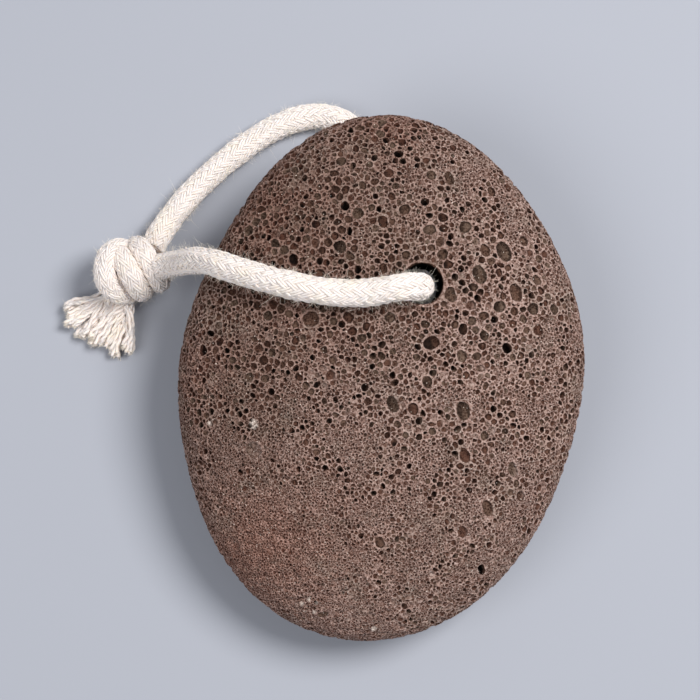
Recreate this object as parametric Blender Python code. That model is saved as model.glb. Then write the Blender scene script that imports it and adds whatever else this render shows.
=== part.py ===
"""A drilled oval pumice stone on a knotted loop of braided cotton cord, lying on its back.

The stone lies face up with its narrow end towards +Y. The cord comes up through the hole, crosses
the face to the left and drops to a knot on the ground; its other strand leaves the hole underneath,
so the stone rests on a worn patch of its back and, beside the hole, on the cord.
Everything is in metres. The origin is on the ground under the middle of the stone.
"""

import math
import random

import bmesh
import bpy
import numpy as np
from mathutils import Matrix, Vector
from mathutils.geometry import delaunay_2d_cdt

# ---- The stone, in its own frame: origin in its middle, +Y to the narrow end, +Z out of its face

OUTLINE_RADIUS = 0.0412
# Waves round the outline: order, cosine part, sine part. The second makes the oval.
OUTLINE_WAVES = (
    (1, -0.0002, -0.0004),
    (2, -0.0054, 0.0012),
    (3, 0.0003, -0.0002),
    (4, 0.0009, -0.0001),
    (5, -0.0001, 0.0003),
)
FACE_HEIGHT = 0.0130
BACK_HEIGHT = 0.0140
ROUNDNESS = 2.2  # power of the cross-section: 2 is an ellipse, more is a fuller pillow
LUMP_HEIGHT = 0.0004
LUMP_LENGTH = 0.031
# Slow unevenness of the faces, two crossed waves a row: share, then x part, y part and phase of each
LUMP_WAVES = (
    (1.0, (1.0, 0.4, 0.8), (-0.3, 0.9, 2.1)),
    (0.5, (1.5, -1.1, 0.3), (1.7, 1.7, 1.4)),
)

HOLE_X = 0.0071
HOLE_Y = 0.0167
HOLE_RADIUS = 0.0036
HOLE_FLARE = 0.0008  # how much the worn mouth is wider than the hole
HOLE_FLARE_DEPTH = 0.0008
HOLE_SIDES = 16

# ---- How it lies: raised at the hole by the cord under it

LEAN = math.radians(8.0)
WORN_DEPTH = 0.0007  # how far the resting patch is worn into the rounded back
WORN_SIDES = 22
WORN_MOST_REACH = 0.025
SEARCH_WAYS = 12
SEARCH_END = 0.00002  # the search for the lowest place stops at this step

# ---- Pores

PORE_SEED = 11
PORE_DARTS = 420
PORE_GAP = 0.0012  # least wall between two pores
BOWL_SIDES = 8
DIMPLE_SIDES = 6
BOWL_LEAST_RADIUS = 0.0014  # a pore this wide or wider is a bowl, a smaller one a dimple
PORE_DEPTH = 1.25  # depth over radius
SHOULDER_WIDTH = 0.72  # of a bowl's rim, where its wall turns into its floor
SHOULDER_DEPTH = 0.7  # of a bowl's depth, there
PORE_SPREAD = (0.75, 1.35)  # least and most radius over the typical one
# The largest pores of the face, as they lie: x, y, radius
FACE_PORES = (
    (0.0030, 0.0398, 0.0010),
    (0.0120, 0.0355, 0.0014),
    (0.0088, 0.0360, 0.0011),
    (-0.0072, 0.0386, 0.0011),
    (0.0012, 0.0363, 0.0010),
    (0.0076, 0.0312, 0.0009),
    (-0.0065, 0.0304, 0.0010),
    (-0.0042, 0.0291, 0.0012),
    (0.0040, 0.0298, 0.0012),
    (0.0002, 0.0276, 0.0012),
    (0.0084, 0.0262, 0.0013),
    (0.0147, 0.0267, 0.0014),
    (0.0182, 0.0226, 0.0013),
    (0.0216, 0.0225, 0.0019),
    (0.0172, 0.0184, 0.0018),
    (0.0237, 0.0152, 0.0018),
    (0.0120, 0.0148, 0.0014),
    (0.0196, 0.0332, 0.0010),
    (0.0253, 0.0244, 0.0010),
    (0.0276, 0.0174, 0.0010),
    (0.0207, 0.0127, 0.0013),
    (0.0276, 0.0086, 0.0011),
    (0.0140, 0.0040, 0.0013),
    (0.0086, 0.0063, 0.0017),
    (0.0220, 0.0054, 0.0010),
    (0.0079, -0.0005, 0.0011),
    (0.0019, -0.0044, 0.0015),
    (0.0054, -0.0052, 0.0013),
    (0.0142, -0.0056, 0.0019),
    (0.0145, -0.0134, 0.0014),
    (0.0231, -0.0160, 0.0014),
    (0.0187, -0.0228, 0.0016),
    (0.0246, -0.0208, 0.0010),
    (0.0142, -0.0270, 0.0012),
    (0.0178, -0.0340, 0.0010),
    (-0.0318, 0.0050, 0.0011),
    (-0.0124, 0.0104, 0.0016),
    (-0.0225, -0.0126, 0.0018),
    (-0.0004, -0.0287, 0.0012),
    (-0.0104, -0.0420, 0.0012),
)
COARSE_RADIUS = 0.0015  # typical pore radius towards the narrow end and the right side
FINE_RADIUS = 0.0010  # and towards the lower left of the face
COARSE_ACROSS = 0.06  # width over which the pores of the face turn from fine to coarse
COARSE_ALONG = 0.08  # and the length
BACK_COARSENESS = 0.75  # between fine, 0, and coarse, 1

FACET = 0.0036  # spacing of the stone's corners between the pores
FACET_SCATTER = 0.12  # how far a corner is off its place in the grid, in spacings
CORNER_TO_LOOP = 0.45  # least distance of a corner from a loop's corners, in spacings
CORNER_TO_PORE = 0.3
CORNER_TO_EDGE = 0.55
CHART_REACH = 0.06  # more than the way from the middle of a face to the edge
RIM_SIDES = 66  # facets round the stone's edge
MERIDIAN_STEPS = 100

# ---- Cord: its strands run from inside the hole to the knot, x, y, z

CORD_RADIUS = 0.0025
CORD_SIDES_SETTING = 3
CORD_STRAIGHT_STEP = 0.007  # a point this far along a straight run
CORD_TURN_STEP = math.radians(12)  # or after this much turn
CURVE_STEPS = 12  # places tried between two points of a route
FRONT_ROUTE = (
    (0.00674, 0.01605, 0.0180),
    (0.00645, 0.01540, 0.0230),
    (0.0062, 0.0148, 0.0280),
    (0.0056, 0.0143, 0.0307),
    (0.0040, 0.0140, 0.0326),
    (0.0014, 0.0136, 0.0334),
    (-0.0030, 0.0130, 0.0322),
    (-0.0082, 0.0130, 0.0316),
    (-0.0134, 0.0137, 0.0312),
    (-0.0185, 0.0150, 0.0300),
    (-0.0234, 0.0166, 0.0283),
    (-0.0275, 0.0182, 0.0263),
    (-0.0307, 0.0196, 0.0239),
    (-0.0331, 0.0204, 0.0210),
    (-0.0349, 0.0208, 0.0178),
    (-0.0365, 0.0211, 0.0146),
    (-0.0383, 0.0212, 0.0121),
    (-0.0402, 0.0211, 0.0103),
)
BACK_ROUTE = (
    (0.00676, 0.01610, 0.0176),
    (0.0072, 0.01675, 0.0125),
    (0.0074, 0.0171, 0.0088),
    (0.0075, 0.0176, 0.0060),
    (0.0075, 0.0192, 0.0037),
    (0.0074, 0.0220, 0.0027),
    (0.0068, 0.0255, 0.0026),
    (0.0055, 0.0303, 0.0026),
    (0.0036, 0.0357, 0.0026),
    (0.0010, 0.0415, 0.0026),
    (-0.0020, 0.0466, 0.0026),
    (-0.0056, 0.0502, 0.0026),
    (-0.0100, 0.0517, 0.0026),
    (-0.0146, 0.0511, 0.0026),
    (-0.0200, 0.0488, 0.0026),
    (-0.0257, 0.0449, 0.0026),
    (-0.0313, 0.0400, 0.0026),
    (-0.0360, 0.0351, 0.0026),
    (-0.0397, 0.0301, 0.0029),
    (-0.0421, 0.0258, 0.0036),
)

# ---- Knot: three turns of the cord side by side round one axis

KNOT_MIDDLE = (-0.0456, 0.0207, 0.0063)
KNOT_AXIS = (0.92, 0.39, 0.0)
TURN_THICKNESS = 0.0042
TURN_SINK = 0.0006  # how far a small turn may settle towards the ground
# Each turn: place along the axis, place across it on the ground plane, outer radius
KNOT_TURNS = ((-0.0042, 0.0014, 0.0050), (-0.0004, 0.0, 0.0062), (0.0030, -0.0006, 0.0053))
KNOT_CORE_RADIUS = 0.0044
KNOT_CORE_LENGTH = 0.0114
RING_SIDES = 20
RING_SECTION_SIDES = 9

# ---- Frayed ends, fanned out on the ground

# Each end: root middle, tip middle, root width, tip width
FRAYED_ENDS = {
    "frayed_end_left": ((-0.0505, 0.0159), (-0.0563, 0.0107), 0.0048, 0.0098),
    "frayed_end_right": ((-0.0453, 0.0147), (-0.0482, 0.0064), 0.0046, 0.0066),
}
FRAYED_ROOT_THICKNESS = 0.0046
FRAYED_TIP_THICKNESS = 0.0026
FRAYED_SIDES = 18
FRAYED_SECTIONS = 4
FRAYED_RAGGED = 0.0009  # how far the cut tips lie ahead of and behind each other
GROUND_GAP = 0.0001

# ---- Colours

STONE_COLOUR = (0.150, 0.085, 0.065, 1.0)
COTTON_COLOUR = (0.80, 0.74, 0.64, 1.0)


# ================================================================ The stone's form


def outline(theta):
    """Radius of the stone's outline in direction theta."""
    radius = np.full_like(theta, OUTLINE_RADIUS)
    for order, along, across in OUTLINE_WAVES:
        radius = radius + along * np.cos(order * theta) + across * np.sin(order * theta)
    return radius


def lumps(x, y):
    """Slow unevenness of the faces, in and out."""
    turn = 2 * math.pi / LUMP_LENGTH
    height = 0.0
    for share, (a, b, c), (d, e, f) in LUMP_WAVES:
        height += share * math.sin(turn * (a * x + b * y) + c) * math.sin(turn * (d * x + e * y) + f)
    return LUMP_HEIGHT * height


def meridian(theta, height):
    """Radius, rise and distance along the surface from the pole to the edge, in direction theta."""
    phi = np.linspace(0, math.pi / 2, MERIDIAN_STEPS)
    radius = float(outline(np.array([theta]))[0]) * np.sin(phi) ** (2 / ROUNDNESS)
    rise = height * np.cos(phi) ** (2 / ROUNDNESS)
    along = np.concatenate([[0.0], np.cumsum(np.hypot(np.diff(radius), np.diff(rise)))])
    return radius, rise, along


def from_chart(u, v, side):
    """The surface point at chart place (u, v), which is laid out by distance along the surface.

    side is 1 on the face and -1 on the back.
    """
    theta = math.atan2(v, u)
    height = FACE_HEIGHT if side > 0 else BACK_HEIGHT
    radii, rises, along = meridian(theta, height)
    distance = min(math.hypot(u, v), along[-1])
    radius = float(np.interp(distance, along, radii))
    rise = float(np.interp(distance, along, rises))
    x = radius * math.cos(theta)
    y = radius * math.sin(theta)
    lump = lumps(x, y) * rise / height
    return Vector((x, y, side * (rise + lump)))


def to_chart(x, y, side):
    """The chart place above or below (x, y)."""
    theta = math.atan2(y, x)
    height = FACE_HEIGHT if side > 0 else BACK_HEIGHT
    radii, _, along = meridian(theta, height)
    distance = float(np.interp(math.hypot(x, y), radii, along))
    return distance * math.cos(theta), distance * math.sin(theta)


def surface_at(x, y, side):
    return from_chart(*to_chart(x, y, side), side)


def leaning():
    """Turns the stone from its own frame to how it lies, about a line across the hole's direction."""
    across = Vector((HOLE_Y, -HOLE_X, 0)).normalized()
    return Matrix.Rotation(LEAN, 3, across)


# ================================================================ The worn resting patch


def height_below(place):
    """Height of the leaning back at a place (x, y) of the stone's own frame."""
    return (leaning() @ surface_at(place.x, place.y, -1)).z


def lowest_place():
    """The lowest place of the leaning back, found by closing in on it."""
    best = Vector((0.0, 0.0))
    step = OUTLINE_RADIUS / 5
    while step > SEARCH_END:
        angles = [2 * math.pi * k / SEARCH_WAYS for k in range(SEARCH_WAYS)]
        around = [best + step * Vector((math.cos(a), math.sin(a))) for a in angles]
        lowest = min(around, key=height_below)
        if height_below(lowest) < height_below(best):
            best = lowest
        else:
            step /= 2
    return best


def worn_outline(middle, ground):
    """Where the back meets the ground plane, as places round the middle of the patch."""
    places = []
    for k in range(WORN_SIDES):
        angle = 2 * math.pi * k / WORN_SIDES
        ray = Vector((math.cos(angle), math.sin(angle)))
        near, far = 0.0, WORN_MOST_REACH
        while far - near > SEARCH_END / 1000:
            reach = (near + far) / 2
            if height_below(middle + reach * ray) < ground:
                near = reach
            else:
                far = reach
        places.append(middle + near * ray)
    return places


# ================================================================ Pores


def pore_radius(x, y, side, dice):
    """A pore's radius at (x, y): coarse at the narrow end and the right, fine at the lower left."""
    coarse = BACK_COARSENESS
    if side > 0:
        coarse = min(max(0.5 + x / COARSE_ACROSS + y / COARSE_ALONG, 0.0), 1.0)
    typical = FINE_RADIUS + coarse * (COARSE_RADIUS - FINE_RADIUS)
    return typical * dice.uniform(*PORE_SPREAD)


def clear_of(u, v, room, taken):
    return all(math.hypot(u - a, v - b) > room + r for a, b, r in taken)


def choose_pores(side, taken):
    """Chart places and radii of the pores of one side, largest first, clear of what is taken."""
    dice = random.Random(PORE_SEED + side)
    pores = []
    if side > 0:
        for x, y, radius in FACE_PORES:
            u, v = to_chart(x, y, side)
            if clear_of(u, v, radius + PORE_GAP, taken + pores):
                pores.append((u, v, radius))
    for _ in range(PORE_DARTS):
        angle = dice.uniform(0, 2 * math.pi)
        distance = edge_distance(angle, side) * math.sqrt(dice.random())
        u, v = distance * math.cos(angle), distance * math.sin(angle)
        point = from_chart(u, v, side)
        radius = pore_radius(point.x, point.y, side, dice)
        in_from_edge = distance < edge_distance(angle, side) - radius - PORE_GAP
        if in_from_edge and clear_of(u, v, radius + PORE_GAP, taken + pores):
            pores.append((u, v, radius))
    return pores


def edge_distance(angle, side):
    height = FACE_HEIGHT if side > 0 else BACK_HEIGHT
    return meridian(angle, height)[2][-1]


# ================================================================ The stone's mesh


class Shell:
    """Points and faces of the stone as they are gathered, side by side."""

    def __init__(self):
        self.points = []
        self.faces = []

    def add(self, point):
        self.points.append(point)
        return len(self.points) - 1


def ring_places(u, v, radius, sides, turn=0.0):
    angles = [turn + 2 * math.pi * k / sides for k in range(sides)]
    return [(u + radius * math.cos(a), v + radius * math.sin(a)) for a in angles]


def filler_places(side, pores, loops):
    """Places between the pores, on a grid of near-equal triangles."""
    dice = random.Random(PORE_SEED + 5 * side)
    row_step = FACET * math.sin(math.radians(60))
    rows = int(CHART_REACH / row_step)
    columns = int(CHART_REACH / FACET)
    places = []
    for row in range(-rows, rows + 1):
        for column in range(-columns, columns + 1):
            u = (column + 0.5 * (row % 2) + dice.uniform(-1, 1) * FACET_SCATTER) * FACET
            v = row * row_step + dice.uniform(-1, 1) * FACET_SCATTER * FACET
            reach = edge_distance(math.atan2(v, u), side) - CORNER_TO_EDGE * FACET
            if math.hypot(u, v) > reach or not clear_of(u, v, CORNER_TO_PORE * FACET, pores):
                continue
            if all(math.dist((u, v), place) > CORNER_TO_LOOP * FACET for loop in loops for place in loop):
                places.append((u, v))
    return places


def build_side(shell, rim, side, solid_loops, open_loops, pores):
    """One side: its faces between the rim, the pores' rims and the other loops.

    Returns the point numbers of each open loop and each pore's rim.
    """
    places = []
    numbers = []
    edges = []

    def take_loop(loop, points):
        first = len(places)
        places.extend(loop)
        numbers.extend(points)
        edges.extend((first + k, first + (k + 1) % len(loop)) for k in range(len(loop)))

    rim_loop = []
    for k in range(RIM_SIDES):
        angle = 2 * math.pi * k / RIM_SIDES
        distance = edge_distance(angle, side)
        rim_loop.append((distance * math.cos(angle), distance * math.sin(angle)))
    take_loop(rim_loop, rim)

    holes = []
    for loop in open_loops:
        points = [shell.add(from_chart(u, v, side)) for u, v in loop]
        take_loop(loop, points)
        holes.append(points)
    for loop in solid_loops:
        take_loop(loop, [shell.add(from_chart(u, v, side)) for u, v in loop])
    for u, v in filler_places(side, pores, open_loops + solid_loops):
        inside_patch = any(inside_loop(u, v, loop) for loop in solid_loops)
        inside_hole = any(inside_loop(u, v, loop) for loop in open_loops)
        if not inside_patch and not inside_hole:
            places.append((u, v))
            numbers.append(shell.add(from_chart(u, v, side)))

    flat = [Vector(place) for place in places]
    _, _, triangles, sources, _, _ = delaunay_2d_cdt(flat, edges, [], 1, 1e-9, True)
    number_of = [numbers[source[0]] for source in sources]
    closed = [set(points) for points in holes]
    for triangle in triangles:
        corners = [number_of[k] for k in triangle]
        if any(hole.issuperset(corners) for hole in closed):
            continue
        shell.faces.append(corners if side > 0 else corners[::-1])
    return holes


def inside_loop(u, v, loop):
    """Whether (u, v) is inside a loop of places, by counting the edges it crosses."""
    crossings = 0
    for (a, b), (c, d) in zip(loop, loop[1:] + loop[:1]):
        if (b > v) != (d > v) and u < a + (v - b) / (d - b) * (c - a):
            crossings += 1
    return crossings % 2 == 1


def stitch(shell, upper, lower):
    """Joins two rings of as many points with triangles; upper runs round the opening."""
    count = len(upper)
    for k in range(count):
        a, b = upper[k], upper[(k + 1) % count]
        c, d = lower[k], lower[(k + 1) % count]
        shell.faces.append([a, b, d])
        shell.faces.append([a, d, c])


def dig_pore(shell, rim, radius, side):
    """A bowl or a dimple below the rim of a pore."""
    corners = [shell.points[k] for k in rim]
    middle = sum(corners, Vector()) / len(corners)
    inward = Vector()
    for first, second in zip(corners, corners[1:] + corners[:1]):
        inward -= side * (first - middle).cross(second - middle)
    inward.normalize()
    depth = PORE_DEPTH * radius
    ring = rim if side > 0 else rim[::-1]
    if radius >= BOWL_LEAST_RADIUS:
        lower = []
        for k in ring:
            shoulder = middle.lerp(shell.points[k], SHOULDER_WIDTH)
            lower.append(shell.add(shoulder + SHOULDER_DEPTH * depth * inward))
        stitch(shell, ring, lower)
        ring = lower
    bottom = shell.add(middle + depth * inward)
    for first, second in zip(ring, ring[1:] + ring[:1]):
        shell.faces.append([first, second, bottom])


def drill(shell, upper, lower):
    """The hole's wall, from its mouth in the face to its mouth in the back."""
    rings = [upper]
    for mouth, rim, inward in ((upper, upper, -1), (lower, lower, 1)):
        level = sum(shell.points[k].z for k in mouth) / HOLE_SIDES + inward * HOLE_FLARE_DEPTH
        wall = []
        for k in rim:
            x = HOLE_X + (shell.points[k].x - HOLE_X) * HOLE_RADIUS / (HOLE_RADIUS + HOLE_FLARE)
            y = HOLE_Y + (shell.points[k].y - HOLE_Y) * HOLE_RADIUS / (HOLE_RADIUS + HOLE_FLARE)
            wall.append(shell.add(Vector((x, y, level))))
        rings.append(wall)
    rings.append(lower)
    for first, second in zip(rings, rings[1:]):
        stitch(shell, first, second)


def stone_mesh():
    shell = Shell()
    middle = lowest_place()
    ground = height_below(middle) + WORN_DEPTH
    rim = []
    for k in range(RIM_SIDES):
        angle = 2 * math.pi * k / RIM_SIDES
        distance = edge_distance(angle, 1)
        point = from_chart(distance * math.cos(angle), distance * math.sin(angle), 1)
        rim.append(shell.add(Vector((point.x, point.y, 0.0))))

    mouth = ring_places(HOLE_X, HOLE_Y, HOLE_RADIUS + HOLE_FLARE, HOLE_SIDES)
    patch = [to_chart(place.x, place.y, -1) for place in worn_outline(middle, ground)]
    worn_reach = max(math.dist(place, to_chart(middle.x, middle.y, -1)) for place in patch)
    mouths = {}
    for side in (1, -1):
        hole_loop = [to_chart(x, y, side) for x, y in mouth]
        taken = [(*to_chart(HOLE_X, HOLE_Y, side), HOLE_RADIUS + HOLE_FLARE + PORE_GAP)]
        solid = []
        if side < 0:
            taken.append((*to_chart(middle.x, middle.y, side), worn_reach))
            solid.append(patch)
        pores = choose_pores(side, taken)
        loops = [hole_loop]
        for u, v, radius in pores:
            sides = BOWL_SIDES if radius >= BOWL_LEAST_RADIUS else DIMPLE_SIDES
            loops.append(ring_places(u, v, radius, sides, turn=13 * u + 29 * v))
        rims = build_side(shell, rim, side, solid, loops, pores)
        mouths[side] = rims[0]
        for pore_rim, (_, _, radius) in zip(rims[1:], pores):
            dig_pore(shell, pore_rim, radius, side)
    drill(shell, mouths[1], mouths[-1])
    return shell, ground


def make_stone(material):
    shell, ground = stone_mesh()
    mesh = bpy.data.meshes.new("pumice_stone")
    mesh.from_pydata([tuple(point) for point in shell.points], [], shell.faces)
    mesh.update()
    stone = bpy.data.objects.new("pumice_stone", mesh)
    bpy.context.scene.collection.objects.link(stone)
    place = Matrix.Translation((0, 0, -ground))
    stone.matrix_world = place @ leaning().to_4x4()
    mesh.materials.append(material)
    return stone


# ================================================================ The cord


def smooth_route(route):
    """Close places on a smooth curve through the points of a route."""
    points = [Vector(point) for point in route]
    ends = [2 * points[0] - points[1]] + points + [2 * points[-1] - points[-2]]
    places = []
    for before, start, end, after in zip(ends, ends[1:], ends[2:], ends[3:]):
        for step in range(CURVE_STEPS):
            t = step / CURVE_STEPS
            slope_in = (end - before) / 2
            slope_out = (after - start) / 2
            place = start * (2 * t**3 - 3 * t**2 + 1) + end * (3 * t**2 - 2 * t**3)
            places.append(place + slope_in * (t**3 - 2 * t**2 + t) + slope_out * (t**3 - t**2))
    places.append(points[-1])
    return places


def spaced(places):
    """The places kept: one after each stretch or each turn."""
    kept = [places[0]]
    heading = (places[1] - places[0]).normalized()
    for here, following in zip(places[1:], places[2:]):
        direction = (following - here).normalized()
        run = (here - kept[-1]).length
        if run > CORD_STRAIGHT_STEP or heading.angle(direction) > CORD_TURN_STEP:
            kept.append(here)
            heading = direction
    kept.append(places[-1])
    return kept


def make_cord(name, route, material):
    curve = bpy.data.curves.new(name, "CURVE")
    curve.dimensions = "3D"
    curve.bevel_depth = CORD_RADIUS
    curve.bevel_resolution = CORD_SIDES_SETTING
    curve.use_fill_caps = True
    kept = spaced(smooth_route(route))
    spline = curve.splines.new("POLY")
    spline.points.add(len(kept) - 1)
    for point, place in zip(spline.points, kept):
        point.co = (*place, 1.0)
    curve.materials.append(material)
    strand = bpy.data.objects.new(name, curve)
    bpy.context.scene.collection.objects.link(strand)


def new_object(name, mesh_maker):
    mesh = bpy.data.meshes.new(name)
    bm = bmesh.new()
    mesh_maker(bm)
    bmesh.ops.recalc_face_normals(bm, faces=bm.faces)
    bm.to_mesh(mesh)
    bm.free()
    thing = bpy.data.objects.new(name, mesh)
    bpy.context.scene.collection.objects.link(thing)
    return thing


def add_turn(bm, along, across, outer_radius):
    """One turn of the knot, a fat ring round the axis."""
    axis = Vector(KNOT_AXIS).normalized()
    side = axis.cross(Vector((0, 0, 1)))
    middle = Vector(KNOT_MIDDLE) + along * axis - across * side
    middle.z = max(middle.z - TURN_SINK, outer_radius + GROUND_GAP)
    thickness = TURN_THICKNESS / 2
    rings = []
    for k in range(RING_SIDES):
        angle = 2 * math.pi * k / RING_SIDES
        out = math.cos(angle) * side + Vector((0, 0, math.sin(angle)))
        centre = middle + (outer_radius - thickness) * out
        ring = []
        for j in range(RING_SECTION_SIDES):
            turn = 2 * math.pi * j / RING_SECTION_SIDES
            offset = math.cos(turn) * out + math.sin(turn) * axis
            ring.append(bm.verts.new(centre + thickness * offset))
        rings.append(ring)
    for ring, following in zip(rings, rings[1:] + rings[:1]):
        for a, b, c, d in zip(ring, ring[1:] + ring[:1], following[1:] + following[:1], following):
            bm.faces.new((a, b, c, d))


def add_core(bm):
    """The cord's inner run, which fills the turns."""
    axis = Vector(KNOT_AXIS).normalized()
    middle = Vector(KNOT_MIDDLE) + (KNOT_TURNS[0][0] + KNOT_TURNS[-1][0]) / 2 * axis
    turn = Vector((0, 0, 1)).rotation_difference(axis).to_matrix().to_4x4()
    size = Matrix.Diagonal((KNOT_CORE_RADIUS, KNOT_CORE_RADIUS, KNOT_CORE_LENGTH / 2, 1.0))
    place = Matrix.Translation(middle) @ turn @ size
    bmesh.ops.create_uvsphere(bm, u_segments=14, v_segments=8, radius=1.0, matrix=place)


def make_knot(material):
    knot = new_object("cord_knot", add_core)
    for number, (along, across, outer_radius) in enumerate(KNOT_TURNS):
        turn = new_object(
            f"knot_turn_{number}", lambda bm: add_turn(bm, along, across, outer_radius)
        )
        turn.hide_render = True
        turn.display_type = "WIRE"
        union = knot.modifiers.new(f"turn {number}", "BOOLEAN")
        union.operation = "UNION"
        union.solver = "EXACT"
        union.object = turn
    knot.data.materials.append(material)


def add_frayed_end(bm, root, tip, root_width, tip_width):
    """A flat fan of loose yarns with ragged cut tips, lying on the ground."""
    start, end = Vector((*root, 0)), Vector((*tip, 0))
    forward = (end - start).normalized()
    sideways = Vector((forward.y, -forward.x, 0))
    rings = []
    for section in range(FRAYED_SECTIONS):
        t = section / (FRAYED_SECTIONS - 1)
        wide = root_width + (tip_width - root_width) * t**1.3
        thick = FRAYED_ROOT_THICKNESS + (FRAYED_TIP_THICKNESS - FRAYED_ROOT_THICKNESS) * t
        ring = []
        for k in range(FRAYED_SIDES):
            angle = 2 * math.pi * k / FRAYED_SIDES
            place = start.lerp(end, t) + 0.5 * wide * math.cos(angle) * sideways
            place.z = GROUND_GAP + 0.5 * thick * (1 + math.sin(angle))
            if section == FRAYED_SECTIONS - 1:
                place += FRAYED_RAGGED * (1 if k % 2 else -1) * forward
            ring.append(bm.verts.new(place))
        rings.append(ring)
    for ring, following in zip(rings, rings[1:]):
        for a, b, c, d in zip(ring, ring[1:] + ring[:1], following[1:] + following[:1], following):
            bm.faces.new((a, b, c, d))
    for ring in (rings[0], rings[-1]):
        middle = bm.verts.new(sum((vert.co for vert in ring), Vector()) / len(ring))
        for a, b in zip(ring, ring[1:] + ring[:1]):
            bm.faces.new((a, b, middle))


def make_frayed_ends(material):
    for name, (root, tip, root_width, tip_width) in FRAYED_ENDS.items():
        end = new_object(name, lambda bm: add_frayed_end(bm, root, tip, root_width, tip_width))
        end.data.materials.append(material)


# ================================================================ Materials and the scene


def make_material(name, colour, roughness):
    material = bpy.data.materials.new(name)
    material.use_nodes = True
    shader = material.node_tree.nodes["Principled BSDF"]
    shader.inputs["Base Color"].default_value = colour
    shader.inputs["Roughness"].default_value = roughness
    shader.inputs["Metallic"].default_value = 0.0
    material.diffuse_color = colour
    return material


def clear_scene():
    for thing in list(bpy.data.objects):
        bpy.data.objects.remove(thing)


def main():
    clear_scene()
    pumice = make_material("pumice", STONE_COLOUR, 0.95)
    cotton = make_material("cotton", COTTON_COLOUR, 0.9)
    make_stone(pumice)
    make_cord("cord_front", FRONT_ROUTE, cotton)
    make_cord("cord_back", BACK_ROUTE, cotton)
    make_knot(cotton)
    make_frayed_ends(cotton)


main()
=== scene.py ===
"""The looks of a drilled oval pumice stone on a knotted loop of braided cotton cord, lying on its back.

The camera and the cord are made first, then the knot and the frayed ends, all with their loose fibres,
then the stone with its pores, and last the floor and the lights. Everything is in metres.
"""

import math

import bpy
import numpy as np
from mathutils import Matrix, Vector
from mathutils.geometry import delaunay_2d_cdt


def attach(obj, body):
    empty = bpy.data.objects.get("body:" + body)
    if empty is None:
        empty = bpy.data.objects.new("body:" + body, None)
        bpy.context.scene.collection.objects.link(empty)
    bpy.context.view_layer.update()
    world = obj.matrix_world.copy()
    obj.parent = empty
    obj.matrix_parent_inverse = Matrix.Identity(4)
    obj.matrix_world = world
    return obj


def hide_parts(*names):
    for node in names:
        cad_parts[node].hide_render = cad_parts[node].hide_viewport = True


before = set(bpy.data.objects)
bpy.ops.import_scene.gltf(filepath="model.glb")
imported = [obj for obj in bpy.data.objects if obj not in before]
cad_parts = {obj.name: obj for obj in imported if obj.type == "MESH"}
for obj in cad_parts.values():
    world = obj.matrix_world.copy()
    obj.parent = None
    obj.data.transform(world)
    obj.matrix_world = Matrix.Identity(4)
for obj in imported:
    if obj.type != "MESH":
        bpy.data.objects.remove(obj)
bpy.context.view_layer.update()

# ---- Camera, in the stone's own frame: it looks straight down on the stone's face

CAMERA_PLACE = (-0.00561, 0.00507, 0.3521)
CAMERA_LENS = 100.0  # mm, on a sensor 36 mm wide
CAMERA_SENSOR = 36.0

# ---- The stone's form, in its own frame: origin in its middle, +Y to the narrow end, +Z out of its face

OUTLINE_RADIUS = 0.0412
# Waves round the outline: order, cosine part, sine part. The second makes the oval.
OUTLINE_WAVES = (
    (1, -0.0002, -0.0004),
    (2, -0.0054, 0.0012),
    (3, 0.0003, -0.0002),
    (4, 0.0009, -0.0001),
    (5, -0.0001, 0.0003),
)
FACE_HEIGHT = 0.0130
BACK_HEIGHT = 0.0140
ROUNDNESS = 2.2
LUMP_HEIGHT = 0.0004
LUMP_LENGTH = 0.031
# Waves of the lumps: share, and for each of two ways across how often it repeats in x and y, and its start
LUMP_WAVES = (
    (1.0, (1.0, 0.4, 0.8), (-0.3, 0.9, 2.1)),
    (0.5, (1.5, -1.1, 0.3), (1.7, 1.7, 1.4)),
)
LEAN = math.radians(8.0)  # how far the cord under the hole's end tilts the stone
WORN_DEPTH = 0.0007  # of the patch that the stone rests on

HOLE_X = 0.0071
HOLE_Y = 0.0167
HOLE_RADIUS = 0.0036
MOUTH_DEPTH = 0.0005  # how far below its edge the bore begins
MOUTH_SIDES = 64
MOUTH_WEAR = 0.00025  # how much wider the mouth looks than the bore
MOUTH_CHIPS = 0.00018  # how ragged the mouth is
MOUTH_SHADE = 0.45  # how much painted shade its edge has
BORE_STEP = 0.0007
BORE_ROUGH = 0.00010
BORE_SHADE_SHARE = 0.7  # painted shade down the bore, as in a pore of this share of its depth

# ---- What each part's random draws start from

STONE_SEED = 5
PATCH_SEED = 31
BROKEN_SEED = 32
CORD_SEED = 21
KNOT_SEED = 22
FRAYED_SEED = 23

# ---- Pores

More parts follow.
